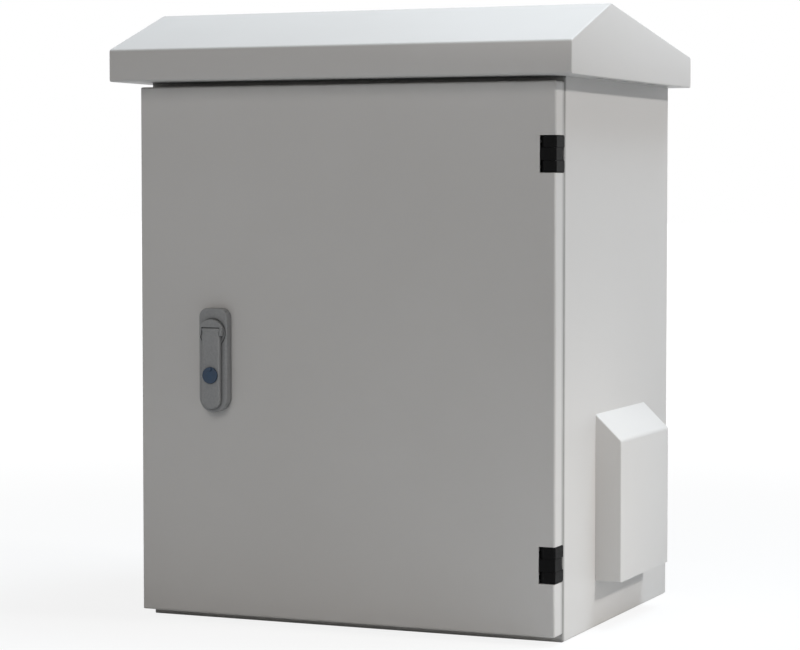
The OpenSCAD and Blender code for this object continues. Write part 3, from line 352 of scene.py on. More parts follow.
def use_group(tree, group, place, **values):
    """Puts a node group into a material with its own values and gives its results."""
    made = tree.nodes.new("ShaderNodeGroup")
    made.node_tree = group
    tree.links.new(place, made.inputs["Vector"])
    for label, value in values.items():
        made.inputs[label.replace("_", " ")].default_value = value
    return made.outputs


def layer(tree, base, mask, share, colour):
    """A colour laid over a base where a mask shows."""
    return blend_colour(tree, calc(tree, "MULTIPLY", mask, share), base, colour)


def connect(tree, shader, bump, colour, height, roughness=None):
    """Leads colour, height and roughness to the shader and its Bump node."""
    tree.links.new(colour, shader.inputs["Base Color"])
    tree.links.new(height, bump.inputs["Height"])
    if roughness is not None:
        tree.links.new(roughness, shader.inputs["Roughness"])


print("finish helpers: new_finish, use_group, layer, connect")

# %% [markdown]
# The sheet steel is powder coated in light grey. Its tone drifts slightly, low faces carry a trace of dust, the
# bends are a shade lighter where the coat is thin, and painted shade darkens the gap round the door and its lips.

# %% Finish: light grey powder coat
paint, tree, shader, place, bump = new_finish("grey_powder_coat", 0.00025, Specular_IOR_Level=0.5)
coat = use_group(tree, skin, place, Ripple=520.0, Drift=4.0)
rub = use_group(tree, wear, place, Reach=0.0014, Breaks=70.0)["Mask"]
film = use_group(tree, dust, place, Splash_Height=0.10, Patches=9.0)["Mask"]
gap_shade_mask = use_group(tree, shade_in_gaps, place, Reach=0.005, Front=-0.2122, Back=-0.183)["Mask"]
lip_shade_mask = use_group(tree, shade_on_lips, place, Side=0.2485, Top=0.607)["Mask"]
colour = blend_colour(tree, coat["Tone"], (0.604, 0.586, 0.568), (0.632, 0.614, 0.597))
colour = layer(tree, colour, film, 0.07, (0.47, 0.44, 0.38))
colour = layer(tree, colour, rub, 0.35, (0.72, 0.72, 0.71))
# Painted shade in the door's gap and on its lips, mixed towards near black.
painted_shade = calc(tree, "MAXIMUM", calc(tree, "MULTIPLY", gap_shade_mask, 0.9), calc(tree, "MULTIPLY", lip_shade_mask, 0.55))
colour = blend_colour(tree, painted_shade, colour, (0.06, 0.058, 0.054))
gloss = spread(tree, coat["Tone"], 0.0, 1.0, 0.40, 0.47)
roughness = calc(tree, "ADD", gloss, calc(tree, "MULTIPLY", film, 0.15))
connect(tree, shader, bump, colour, coat["Height"], roughness)
print("finish:", paint.name)

# %% [markdown]
# The equipment plate and the gland plate are zinc-coated sheet, grey and faintly patterned with crystals.

# %% Finish: zinc sheet
zinc_sheet, tree, shader, place, bump = new_finish("zinc_sheet", 0.00004, Metallic=1.0)
crystals = use_group(tree, zinc, place, Size=90.0, Cloud=25.0)
colour = blend_colour(tree, crystals["Tone"], (0.50, 0.51, 0.52), (0.72, 0.73, 0.74))
connect(tree, shader, bump, colour, crystals["Height"], spread(tree, crystals["Tone"], 0.2, 0.8, 0.34, 0.52))
print("finish:", zinc_sheet.name)

# %% [markdown]
# Castings, mouldings, rubber and plating differ in colour and gloss, but all have the grain of what made them, so
# one tool makes them all. Bolts, nuts, studs and wires are zinc plated: brighter than the sheet, with a cloudy
# passivated film.

# %% Finish: zinc plated fasteners


def grained(name, depth, scales, first, last, rough, layers=(), **shader_values):
    """A finish between two colours in the pattern of its grain, under layers of wear, dust or grime."""
    material, tree, shader, place, bump = new_finish(name, depth, **shader_values)
    pattern = use_group(tree, grain, place, Coarse=scales[0], Fine=scales[1])
    colour = blend_colour(tree, pattern["Tone"], first, last)
    for group, values, share, over in layers:
        colour = layer(tree, colour, use_group(tree, group, place, **values)["Mask"], share, over)
    connect(tree, shader, bump, colour, pattern["Height"], spread(tree, pattern["Tone"], 0.0, 1.0, *rough))
    print("finish:", name)
    return material


zinc_bolt = grained("zinc_plated_steel", 0.00002, (180.0, 2600.0), (0.60, 0.61, 0.64), (0.70, 0.69, 0.66),
                    (0.24, 0.38), Metallic=1.0)

# %% [markdown]
# The hinges are zinc castings with a black coat that is rubbed a little on its edges. The lock's base, hub and
# lever are castings too, in a mid grey that is darker than the door, and painted shade darkens their recesses.

# %% Finish: black hinge castings and grey lock castings
hinge_rub = (wear, {"Reach": 0.0007, "Breaks": 160.0}, 0.15, (0.014, 0.014, 0.014))
black_cast = grained("black_casting", 0.00012, (420.0, 1800.0), (0.0040, 0.0040, 0.0042), (0.0070, 0.0070, 0.0072),
                     (0.42, 0.55), [hinge_rub], Specular_IOR_Level=0.05)
lock_rub = (wear, {"Reach": 0.0006, "Breaks": 220.0}, 0.5, (0.52, 0.52, 0.52))
# Painted shade in the lock's recesses.
lock_recess_shade = (shade_in_gaps, {"Reach": 0.006, "Front": -0.240, "Back": -0.2145}, 0.55, (0.05, 0.05, 0.052))
lock_cast = grained("grey_lock_casting", 0.00010, (380.0, 1600.0), (0.245, 0.246, 0.249), (0.285, 0.286, 0.288),
                    (0.38, 0.48), [lock_rub, lock_recess_shade], Specular_IOR_Level=0.5)

# %% [markdown]
# Gaskets, grommets and the door's sealing strip are black rubber foam: dull, with fine open pores. The fan and the
# filter frame are glass-filled plastic, nearly black, with a fine sparked grain. Dust lies on both.

# %% Finish: seal rubber and fan plastic
rubber_dust = (dust, {"Splash_Height": 0.10, "Patches": 14.0}, 0.3, (0.12, 0.11, 0.10))
rubber = grained("seal_rubber", 0.00018, (700.0, 2400.0), (0.013, 0.013, 0.013), (0.024, 0.024, 0.024),
                 (0.70, 0.88), [rubber_dust], Specular_IOR_Level=0.3)
fan_dust = (dust, {"Splash_Height": 0.05, "Patches": 30.0}, 0.4, (0.14, 0.13, 0.12))
fan_black = grained("fan_plastic", 0.00006, (900.0, 2600.0), (0.016, 0.016, 0.017), (0.024, 0.024, 0.025),
                    (0.46, 0.60), [fan_dust], Specular_IOR_Level=0.45)

# %% [markdown]
# The earth bar stands on red moulded insulators, and the little key cover is dark blue plastic. Both are smooth
# mouldings with a faint flow pattern and paler edges.

# %% Finish: coloured mouldings


def moulding(name, light, dark, rough):
    """A smooth coloured moulding with faint flow marks."""
    pale = tuple(0.5 * x + 0.08 for x in light)
    edges = (wear, {"Reach": 0.0005, "Breaks": 260.0}, 0.35, pale)
    return grained(name, 0.00004, (140.0, 1400.0), dark, light, rough, [edges], Specular_IOR_Level=0.5)


insulator = moulding("red_insulator", (0.36, 0.030, 0.020), (0.26, 0.020, 0.014), (0.30, 0.42))
blue_cap = moulding("dark_blue_plastic", (0.008, 0.034, 0.076), (0.004, 0.021, 0.050), (0.40, 0.52))

# %% [markdown]
# The filter is a mat of white fibres. Two layers of stretched noise, one of them turned, cross like fibres, and
# dust darkens the mat in patches.

# %% Finish: filter fibre
fibre, tree, shader, place, bump = new_finish("filter_fibre", 0.0008, Roughness=0.95)
straight = use_group(tree, lines, place, Along_X=200.0, Across=900.0)
turned = add(tree, "Mapping", Vector=place, Rotation=(0.6, 1.2, 0.9))
crossing = use_group(tree, lines, turned.outputs[0], Along_X=120.0, Across=1100.0)
threads = calc(tree, "MAXIMUM", straight["Tone"], crossing["Tone"])
patches = use_group(tree, skin, place, Ripple=300.0, Drift=40.0)["Tone"]
colour = blend_colour(tree, threads, (0.42, 0.41, 0.38), (0.80, 0.79, 0.75))
connect(tree, shader, bump, layer(tree, colour, patches, 0.3, (0.40, 0.38, 0.34)), threads)
print("finish:", fibre.name)

# %% [markdown]
# The earth bar is drawn copper with a brown bloom. Its screws, the door's earth nut and the key plug are brass.

# %% Finish: copper and brass


def drawn_metal(name, bright, dull, rough):
    """Bare drawn metal: fine lines along its length under a cloudy tarnish."""
    material, tree, shader, place, bump = new_finish(name, 0.00003, Metallic=1.0)
    drawn = use_group(tree, lines, place, Along_X=25.0, Across=1200.0)["Tone"]
    tarnish = use_group(tree, skin, place, Ripple=400.0, Drift=45.0)["Tone"]
    mixed = calc(tree, "MULTIPLY", tarnish, drawn)
    connect(tree, shader, bump, blend_colour(tree, mixed, bright, dull), drawn, spread(tree, mixed, 0.0, 1.0, *rough))
    print("finish:", name)
    return material


copper = drawn_metal("drawn_copper", (0.86, 0.49, 0.33), (0.72, 0.38, 0.24), (0.20, 0.32))
brass = drawn_metal("turned_brass", (0.78, 0.60, 0.28), (0.55, 0.40, 0.17), (0.22, 0.40))

# %% [markdown]
# ## Dress the solids
# Each solid takes the finish of its real material. The list below goes by finish, and a check makes sure that no
# solid is forgotten.

# %% Dress the solids
wearing = {
    paint: ["body_wrap", "top_panel", "bottom_panel", "door_frame", "rain_canopy", "vent_hood", "door_panel",
            "door_ribs", "upper_rail", "lower_rail"],
    zinc_sheet: ["mounting_plate", "gland_plate"],
    zinc_bolt: ["canopy_bolts", "canopy_nuts", "hood_rivets", "filter_screws", "fan_guard", "fan_screws",
                "plate_studs", "plate_nuts", "gland_screws", "hinge_pins", "hinge_body_screws",
                "hinge_door_screws", "door_earth_stud", "lock_nut", "lock_screw", "latch_cam", "latch_screw",
                "handle_pin", "key_barrel", "cover_rivet"],
    black_cast: ["hinge_body_leaves", "hinge_door_leaves"],
    lock_cast: ["lock_base", "lock_hub", "lock_lever"],
    rubber: ["door_seal", "gland_gasket", "cable_grommets", "lock_gasket"],
    fan_black: ["filter_frame", "fan_housing", "fan_rotor"],
    fibre: ["vent_filter"],
    copper: ["earth_bar"],
    brass: ["earth_screws", "door_earth_nut", "key_plug"],
    insulator: ["earth_posts"],
    blue_cap: ["key_cover"],
}
for finish, names in wearing.items():
    for name in names:
        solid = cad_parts[name]
        solid.data.materials.clear()
        solid.data.materials.append(finish)
bare = set(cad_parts) - {n for names in wearing.values() for n in names}
print("finishes:", len(wearing), "solids without a finish:", sorted(bare))

# %% [markdown]
# A pressed or cut sheet never ends in a perfectly sharp edge, and a soft edge catches a thin line of light. Three
# live modifiers do that without touching a solid: Weld joins its loose triangles, Decimate clears the lines across
# its flat faces, and Bevel rounds what is left of its sharp edges.

# %% Soften the solids' edges


def soften(name, width):
    """Rounds the sharp edges of a CAD solid by a width in millimetres."""
    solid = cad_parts[name]
    weld = solid.modifiers.new("join", "WELD")
    weld.merge_threshold = 0.005 * MM
    flat = solid.modifiers.new("flatten", "DECIMATE")
    flat.decimate_type = "DISSOLVE"
    flat.angle_limit = math.radians(0.4)
    edge = solid.modifiers.new("edge", "BEVEL")
    edge.limit_method = "ANGLE"
    edge.angle_limit = math.radians(35)
    edge.width = width * MM
    edge.segments = 2


edge_widths = {
    0.35: ["body_wrap", "door_panel", "door_frame", "top_panel", "bottom_panel", "upper_rail", "lower_rail",
           "mounting_plate", "door_ribs", "lock_hub", "latch_cam", "filter_frame", "fan_housing", "earth_bar",
           "earth_posts", "gland_plate", "cable_grommets"],
    0.15: ["hinge_body_leaves", "hinge_door_leaves"],
}
for width, names in edge_widths.items():
    for name in names:
        soften(name, width)
    print("edges of", width, "mm on", len(names), "solids")

# %% [markdown]
# ## Tools for modelling
# The finer pieces are modelled as by hand: a primitive at its size and place, then edit mode, then modifiers. All
# places below are in millimetres. An operator works on what is selected, so each helper selects first.

# %% Modelling helpers: start and select


def only(*pieces):
    """Object mode with only these pieces selected and the first of them active."""
    if bpy.context.object and bpy.context.object.mode != "OBJECT":
        bpy.ops.object.mode_set(mode="OBJECT")
    bpy.ops.object.select_all(action="DESELECT")
    for piece in pieces:
        piece.select_set(True)
    if pieces:
        bpy.context.view_layer.objects.active = pieces[0]


def settle(piece, name):
    """Names a new primitive and puts its place, turn and size into its mesh."""
    piece.name = piece.data.name = name
    bpy.ops.object.transform_apply()
    return piece


def block(name, low, high):
    """A block from corner to corner."""
    only()
    bpy.ops.mesh.primitive_cube_add(size=1, location=[(a + b) / 2 * MM for a, b in zip(low, high)])
    bpy.context.object.scale = [(b - a) * MM for a, b in zip(low, high)]
    return settle(bpy.context.object, name)


TURNS = {"x": (0, math.pi / 2, 0), "y": (math.pi / 2, 0, 0), "z": (0, 0, 0)}


def bar(name, middle, length, radius, axis, sides=48):
    """A round or many-sided bar about a middle point, along an axis."""
    only()
    bpy.ops.mesh.primitive_cylinder_add(vertices=sides, radius=radius * MM, depth=length * MM,
                                        location=[a * MM for a in middle], rotation=TURNS[axis])
    return settle(bpy.context.object, name)


def pick(piece, kind, test=lambda *place: True):
    """Edit mode with all points, edges or faces selected, or only those that pass a test on their place."""
    only(piece)
    bpy.ops.object.mode_set(mode="EDIT")
    bpy.ops.mesh.select_mode(type=kind)
    bpy.ops.mesh.select_all(action="DESELECT")
    bpy.ops.object.mode_set(mode="OBJECT")
    points = [point.co / MM for point in piece.data.vertices]
    if kind == "VERT":
        for point, at in zip(piece.data.vertices, points):
            point.select = bool(test(at))
    if kind == "EDGE":
        for edge in piece.data.edges:
            edge.select = bool(test(*[points[i] for i in edge.vertices]))
    if kind == "FACE":
        for face in piece.data.polygons:
            face.select = bool(test(face.center / MM, face.normal))
    bpy.ops.object.mode_set(mode="EDIT")


def near(a, b, within=0.05):
    """Whether two lengths agree."""
    return abs(a - b) < within


def round_edges(piece, width, segments, test):
    """Bevels the edges whose two ends pass a test."""
    pick(piece, "EDGE", test)
    bpy.ops.mesh.bevel(offset=width * MM, segments=segments, affect="EDGES")


print("tools: block, bar, pick, round_edges")

# %% [markdown]
# More tools apply a modifier at once, cut a piece with others, join pieces and set out copies. The last one shades
# the finished piece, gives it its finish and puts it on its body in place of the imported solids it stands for.

# %% Modelling helpers: modifiers and hand-over


def apply(piece, kind, **settings):
    """Adds one modifier with its settings and applies it."""
    only(piece)
    modifier = piece.modifiers.new(kind.lower(), kind)
    for label, value in settings.items():
        setattr(modifier, label, value)
    bpy.ops.object.modifier_apply(modifier=modifier.name)


def cut(piece, *tools, operation="DIFFERENCE"):
    """Takes other pieces away from a piece, or keeps only what it shares with them, and deletes them."""
    for tool in tools:
        apply(piece, "BOOLEAN", operation=operation, object=tool, solver="EXACT")
        bpy.data.objects.remove(tool)


def join(name, *pieces):
    """Joins pieces into the first one."""
    only(*pieces)
    if len(pieces) > 1:
        bpy.ops.object.join()
    return settle(pieces[0], name)


def copies(name, master, places, turn=(0, 0, 0)):
    """One joined piece of copies of a master, which is deleted. The turn is one for all or a list of one each."""
    turns = turn if isinstance(turn, list) else [turn] * len(places)
    made = []
    for place, turn in zip(places, turns):
        only(master)
        bpy.ops.object.duplicate()
        copy = bpy.context.object
        copy.rotation_euler = turn
        copy.location = [a * MM for a in place]
        bpy.ops.object.transform_apply()
        made.append(copy)
    bpy.data.objects.remove(master)
    return join(name, *made)


def hand_over(piece, finish, slot, body, *nodes, smooth=35):
    """Smooth shading up to an angle, one finish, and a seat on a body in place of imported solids."""
    only(piece)
    bpy.ops.object.shade_smooth_by_angle(angle=math.radians(smooth))
    piece.data.materials.clear()
    piece.data.materials.append(finish)
    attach(piece, body)
    if nodes:
        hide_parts(*nodes)
    print(piece.name, "faces:", len(piece.data.polygons))


print("tools: apply, cut, join, copies, hand_over")

# %% [markdown]
# ## Rain canopy
# The canopy is folded from one sheet: a fascia all round, a short steep front slope and a long back slope, and
# gable ends. It starts as a block, two cuts give the slopes, Bevel bends the edges, and Solidify turns the skin
# into sheet.

# %% Rain canopy: folded form
SHEET = 1.5
SIDE, FRONT, BACK, RIDGE_Y = 276, -239, 192, -109
FOOT_Z, EAVE_Z, RIDGE_Z = 610, 646, 692

canopy = block("rain_canopy_sheet", (-SIDE, FRONT, FOOT_Z), (SIDE, BACK, RIDGE_Z))
for eave_y in (FRONT, BACK):
    up = Vector((1, 0, 0)).cross(Vector((0, RIDGE_Y - eave_y, RIDGE_Z - EAVE_Z)))
    up *= math.copysign(1.0, up.z)
    pick(canopy, "FACE")
    bpy.ops.mesh.bisect(plane_co=(0, eave_y * MM, EAVE_Z * MM), plane_no=up.normalized(), use_fill=True,
                        clear_outer=True)
round_edges(canopy, 2.5, 4, lambda a, b: near(a.y, b.y) and near(a.z, b.z))
round_edges(canopy, 1.2, 3, lambda a, b: near(abs(a.x), SIDE) and near(a.x, b.x))
apply(canopy, "SOLIDIFY", thickness=SHEET * MM, offset=-1.0, use_even_offset=True)
print("canopy faces:", len(canopy.data.polygons))

# %% [markdown]
# The wide opening over the box, and air slots along three sides, are cut out of the canopy's underside.

# %% Rain canopy: opening and air slots


def slot_tools(name, places, turn=(0, 0, 0)):
    """Upright round-ended blocks that cut air slots."""
    tool = block("slot_tool", (-17, -3.5, -4), (17, 3.5, 4))
    round_edges(tool, 3.45, 6, lambda a, b: not near(a.z, b.z))
    return copies(name, tool, places, turn)


opening = block("opening_tool", (-210, -146, 600), (210, 146, 614))
round_edges(opening, 8, 6, lambda a, b: not near(a.z, b.z))
steps = [47.6 * (i - 4.5) for i in range(10)]
front_slots = slot_tools("front_slots", [(x, -212.5, 611) for x in steps])
side_places = [(s * 263, y, 611) for s in (-1, 1) for y in steps[2:8]]
side_slots = slot_tools("side_slots", side_places, (0, 0, math.pi / 2))
cut(canopy, opening, front_slots, side_slots)
hand_over(canopy, paint, "painted_sheet", "cabinet", "rain_canopy")

# %% [markdown]
# ## Vent hood
# The hood over the air holes is folded sheet too. It is open below and towards the wall, its top slopes, and two
# inner flanges take the rivets. A block loses its corner to one cut, then the two open faces are deleted and
# Solidify gives the sheet its thickness.

# %% Vent hood
WALL, HOOD_FACE = 250, 280
HOOD_FOOT, HOOD_BEND, HOOD_TOP = 52, 210, 239
VENT_Y, VENT_Z, HOOD_HALF = 8, 136, 88

hood = block("vent_hood_sheet", (WALL, VENT_Y - HOOD_HALF, HOOD_FOOT), (HOOD_FACE, VENT_Y + HOOD_HALF, HOOD_TOP))
pick(hood, "FACE")
slope = Vector((HOOD_TOP - HOOD_BEND, 0, HOOD_FACE - WALL)).normalized()
bpy.ops.mesh.bisect(plane_co=(HOOD_FACE * MM, 0, HOOD_BEND * MM), plane_no=slope, use_fill=True, clear_outer=True)
round_edges(hood, 2.5, 4, lambda a, b: all(near(p.x, HOOD_FACE) and near(p.z, HOOD_BEND) for p in (a, b)))
round_edges(hood, 1.4, 3,
            lambda a, b: near(a.y, b.y) and near(abs(a.y - VENT_Y), HOOD_HALF) and a.x + b.x > 2 * WALL + 1)
pick(hood, "FACE", lambda at, normal: normal.x < -0.9 or normal.z < -0.9)
bpy.ops.mesh.delete(type="FACE")
apply(hood, "SOLIDIFY", thickness=SHEET * MM, offset=-1.0, use_even_offset=True)
flanges = []
for side in (-1, 1):
    low, high = sorted((VENT_Y + side * 87.2, VENT_Y + side * 74.5))
    flange = block("hood_flange", (WALL, low, HOOD_FOOT), (WALL + SHEET, high, HOOD_BEND))
    apply(flange, "BEVEL", width=0.3 * MM, segments=2)
    flanges.append(flange)
hood = join("vent_hood_sheet", hood, *flanges)
hand_over(hood, paint, "painted_sheet", "cabinet", "vent_hood")

# %% [markdown]
# ## Swing-handle lock
# The lock sits in a long grey base on the door. A round hub turns in a dish in the base. The lever lies flat in
# front, hangs on the hub at its upper end and carries the key cylinder under a blue cover. Base and lever have soft
# cast edges, so each starts as a block, its corners are bevelled wide and its front edges narrow.

# %% Lock: base
LOCK_X, LOCK_Z, DOOR_FACE = -153.0, 328.5, -214.0
KEY_UP, PIVOT_UP = -47.5, -40.6


def at_lock(x, out, z):
    """A place by the lock's axis: across, out of the door's face, and up."""
    return (LOCK_X + x, DOOR_FACE - out, LOCK_Z + z)


def long_casting(name, half, out, foot, head, low_round, high_round, edge):
    """A tall block on the door with round corners and a soft front edge."""
    piece = block(name, at_lock(-half, out[1], foot), at_lock(half, out[0], head))
    front = DOOR_FACE - out[1]
    for level, radius in ((foot, low_round), (head, high_round)):
        if radius:
            round_edges(piece, radius, 10,
                        lambda a, b: near(a.z, LOCK_Z + level) and near(a.z, b.z) and near(a.x, b.x))
    round_edges(piece, edge, 4, lambda a, b: near(a.y, front) and near(b.y, front))
    bpy.ops.object.mode_set(mode="OBJECT")
    return piece


base = long_casting("lock_base_casting", 17.5, (1, 12), -89.5, 27.5, 16.9, 10, 2.0)
cut(base, bar("dish_tool", at_lock(0, 15.8, 0), 10, 16.6, "y", 96))
collar = bar("collar", at_lock(0, -6.5, 0), 16, 10.5, "y", 64)
round_edges(collar, 0.8, 2, lambda a, b: near(a.y, b.y) and a.y > -202)
base = join("lock_base_casting", base, collar)
hand_over(base, lock_cast, "lock_casting", "door", "lock_base")

# %% [markdown]
# The lever is slimmer than the base and round at its lower end. A pocket behind its upper end leaves room for the
# hub's floor, and a barrel along its top edge turns on the hub's pin.

# %% Lock: lever
lever = long_casting("lock_lever_casting", 11, (12.6, 18.1), -85.5, 3.5, 10.4, 0, 2.0)
cut(lever, block("pocket_tool", at_lock(-30, 13.1, -16.2), at_lock(30, 0, 10)),
    bar("key_tool", at_lock(0, 15, KEY_UP), 20, 5.25, "y", 48))
fold = bar("fold_barrel", at_lock(0, 15.6, 3.5), 22, 2.5, "x", 32)
round_edges(fold, 0.3, 2, lambda a, b: near(a.x, b.x))
lever = join("lock_lever_casting", lever, fold)
hand_over(lever, lock_cast, "lock_casting", "handle_lever", "lock_lever")

# %% [markdown]
# The key cover is a small round cap, slightly dished, that swings aside on a rivet of its own colour. A disc is
# inset and pushed in a little, and its rim is rounded.

# %% Lock: key cover and its rivet
cover = bar("key_cover_cap", at_lock(0, 19.4, KEY_UP), 2.0, 9.2, "y", 64)
pick(cover, "FACE", lambda at, normal: normal.y < -0.9)
bpy.ops.mesh.inset(thickness=2.2 * MM)
bpy.ops.transform.translate(value=(0, 0.35 * MM, 0))
round_edges(cover, 0.55, 3, lambda a, b: a.y < -233.5 and b.y < -233.5 and near(a.y, b.y))
hand_over(cover, blue_cap, "blue_plastic", "cover", "key_cover")
rivet = bar("cover_rivet_head", at_lock(0, 21.1, PIVOT_UP), 1.0, 2.3, "y", 32)
round_edges(rivet, 0.7, 4, lambda a, b: near(a.y, b.y) and a.y < -235.4)
stem = bar("stem", at_lock(0, 18.7, PIVOT_UP), 4.6, 1.35, "y", 24)
pick(stem, "FACE", lambda at, normal: normal.y > 0.9)
bpy.ops.mesh.inset(thickness=0.3 * MM)
rivet = join("cover_rivet_head", rivet, stem)
hand_over(rivet, blue_cap, "blue_plastic", "handle_lever", "cover_rivet")

# %% [markdown]
# ## Door seal
# The door closes on a rubber strip with a half-round back. A flat plate gets round corners, an inset marks the
# strip's width, the middle is deleted, and the ring is drawn out and rounded where the lip presses.

# %% Door seal
SEAL_WIDTH, SEAL_HEIGHT, SEAL_MIDDLE = 437.5, 547.5, 305
DOOR_INSIDE = DOOR_FACE + SHEET

only()
bpy.ops.mesh.primitive_plane_add(size=1, location=(0, DOOR_INSIDE * MM, SEAL_MIDDLE * MM), rotation=TURNS["y"])
bpy.context.object.scale = (SEAL_WIDTH * MM, SEAL_HEIGHT * MM, 1)
seal = settle(bpy.context.object, "door_seal_strip")
pick(seal, "VERT")
bpy.ops.mesh.bevel(offset=14.2 * MM, segments=8, affect="VERTICES")
pick(seal, "FACE")
bpy.ops.mesh.inset(thickness=11 * MM)
bpy.ops.mesh.delete(type="FACE")
pick(seal, "FACE")
bpy.ops.mesh.extrude_region_move(TRANSFORM_OT_translate={"value": (0, 9.2 * MM, 0)})
apply(seal, "BEVEL", width=3.6 * MM, segments=5, limit_method="ANGLE", angle_limit=math.radians(60))
pick(seal, "FACE")
bpy.ops.mesh.normals_make_consistent()
hand_over(seal, rubber, "seal_rubber", "door", "door_seal", smooth=60)

# %% [markdown]
# ## Screws, bolts and nuts
# The box is held together by a few kinds of fasteners. Each kind is modelled once, standing upright with its seat
# at zero and its head up, and then copied to its places. A pan head is a disc with a rounded rim and a cross
# recess, and its shank is drawn out of its underside.

# %% Pan-head screws
HEAD_LEFT, HEAD_DOWN = (0, -math.pi / 2, 0), (math.pi, 0, 0)
HEAD_BACK, HEAD_FRONT = (-math.pi / 2, 0, 0), (math.pi / 2, 0, 0)


def pan_screw(radius, height, shank, length):
    """One pan-head screw with a cross recess."""
    screw = bar("pan_screw", (0, 0, height / 2), height, radius, "z", 32)
    round_edges(screw, 0.42 * height, 4, lambda a, b: near(a.z, height) and near(b.z, height))
    pick(screw, "FACE", lambda at, normal: normal.z < -0.9)
    bpy.ops.mesh.inset(thickness=(radius - shank) * MM)
    bpy.ops.mesh.extrude_region_move(TRANSFORM_OT_translate={"value": (0, 0, -length * MM)})
    long, thin, deep = 0.52 * radius, 0.12 * radius, 0.5 * height
    cut(screw, block("recess_a", (-long, -thin, deep), (long, thin, height + 1)),
        block("recess_b", (-thin, -long, deep), (thin, long, height + 1)))
    return screw


LARGE, SMALL = (3.6, 2.4, 2.0), (3.0, 1.6, 1.75)
corners = [(s, t) for s in (-1, 1) for t in (-1, 1)]
hinge_levels = [z + t * 13.5 for z in (86.75, 526.75) for t in (-1, 1)]
screw_rows = [
    ("filter_screw_set", "filter_screws", "cabinet", pan_screw(*LARGE, 13.4), HEAD_LEFT,
     [(236.5, VENT_Y + 68 * s, VENT_Z + 68 * t) for s, t in corners]),
    ("fan_screw_set", "fan_screws", "cabinet", pan_screw(*LARGE, 49.6), HEAD_LEFT,
     [(196.7, VENT_Y + 52.5 * s, VENT_Z + 52.5 * t) for s, t in corners]),
    ("gland_screw_set", "gland_screws", "cabinet", pan_screw(*LARGE, 4.8), (0, 0, 0),
     [(x, y, 5) for x in (-117, 0, 117) for y in (39, 137)]),
    ("lock_fixing_screw", "lock_screw", "door", pan_screw(*LARGE, 8.5), HEAD_BACK,
     [(LOCK_X, DOOR_INSIDE, 255)]),
    ("hinge_body_screw_set", "hinge_body_screws", "cabinet", pan_screw(*SMALL, 8.5), HEAD_FRONT,
     [(221.2, -189, z) for z in hinge_levels]),
    ("hinge_door_screw_set", "hinge_door_screws", "door", pan_screw(*SMALL, 2.9), HEAD_BACK,
     [(223.75, -209.5, z) for z in hinge_levels]),
]
for name, node, body, master, turn, places in screw_rows:
    hand_over(copies(name, master, places, turn), zinc_bolt, "zinc_fastener", body, node)

# %% [markdown]
# A hexagon head or nut is turned off at its corners. The six-sided block is intersected with a round one whose rim
# is chamfered, which leaves the arcs that every real nut shows. A nut's hole is sunk a little round its stud.

# %% Hexagon bolts and nuts


def hexagon(radius, height, hole=0.0, shank=0.0, length=0.0, washer=0.0):
    """One hexagon head or nut, upright, with its seat at zero."""
    head = bar("hexagon", (0, 0, height / 2), height, radius, "z", 6)
    head.rotation_euler = (0, 0, math.pi / 6)
    turned = bar("turned", (0, 0, height / 2), height, 0.998 * radius, "z", 48)
    round_edges(turned, 0.13 * radius, 1, lambda a, b: near(a.z, height) and near(b.z, height))
    head = join("hexagon", head)
    cut(head, turned, operation="INTERSECT")
    if hole:
        cut(head, bar("hole_tool", (0, 0, height), 1.6, hole, "z", 32))
    extra = []
    if shank:
        stem = bar("stem", (0, 0, -length / 2 + 0.5), length + 1, shank, "z", 24)
        round_edges(stem, 0.2 * shank, 2, lambda a, b: near(a.z, -length) and near(b.z, -length))
        extra.append(stem)
    if washer:
        ring = bar("washer", (0, 0, -0.5), 1.4, washer, "z", 48)
        round_edges(ring, 0.25, 2, lambda a, b: near(a.z, b.z))
        extra.append(ring)
    return join("hexagon", head, *extra)


ZINC, BRASS = (zinc_bolt, "zinc_fastener"), (brass, "brass_part")
bolt_corners = [(230 * s, 166 * t) for s, t in corners]
stud_corners = [(185 * s, 322 + 230 * t) for s, t in corners]
bar_places = [-86, -70, -42, -14, 14, 42, 70, 86]
hex_rows = [
    ("canopy_bolt_set", "canopy_bolts", "cabinet", ZINC, hexagon(5.8, 4, shank=3, length=9),
     HEAD_DOWN, [(x, y, 608.5) for x, y in bolt_corners]),
    ("canopy_nut_set", "canopy_nuts", "cabinet", ZINC, hexagon(5.8, 5, hole=3.4),
     (0, 0, 0), [(x, y, 611.5) for x, y in bolt_corners]),
    ("plate_nut_set", "plate_nuts", "cabinet", ZINC, hexagon(7.4, 6.5, hole=4.5),
     HEAD_FRONT, [(x, 162.5, z) for x, z in stud_corners]),
    ("earth_screw_set", "earth_screws", "cabinet", BRASS, hexagon(4.6, 3.5, shank=2.5, length=12),
     HEAD_FRONT, [(x, 160.5, 42) for x in bar_places]),
    ("door_earth_hexagon", "door_earth_nut", "door", BRASS, hexagon(5.8, 5, hole=3.4),
     HEAD_BACK, [(174, -211.3, 76)]),
    ("lock_hexagon", "lock_nut", "door", ZINC, hexagon(15.5, 7, hole=11.2),
     HEAD_BACK, [(LOCK_X, DOOR_INSIDE, LOCK_Z)]),
    ("latch_bolt", "latch_screw", "handle_hub", ZINC,
     hexagon(4.8, 3.8, shank=2.5, length=14, washer=8), HEAD_BACK, [(LOCK_X, -178.8, LOCK_Z)]),
]
for name, node, body, finish_and_slot, master, turn, places in hex_rows:
    hand_over(copies(name, master, places, turn), *finish_and_slot, body, node)

# %% [markdown]
# Threads show only where a stud ends. A true helix would cost thousands of faces, so the stud's length is divided
# into rings and every second ring is drawn in, which looks the same at this size.

# %% Threaded studs


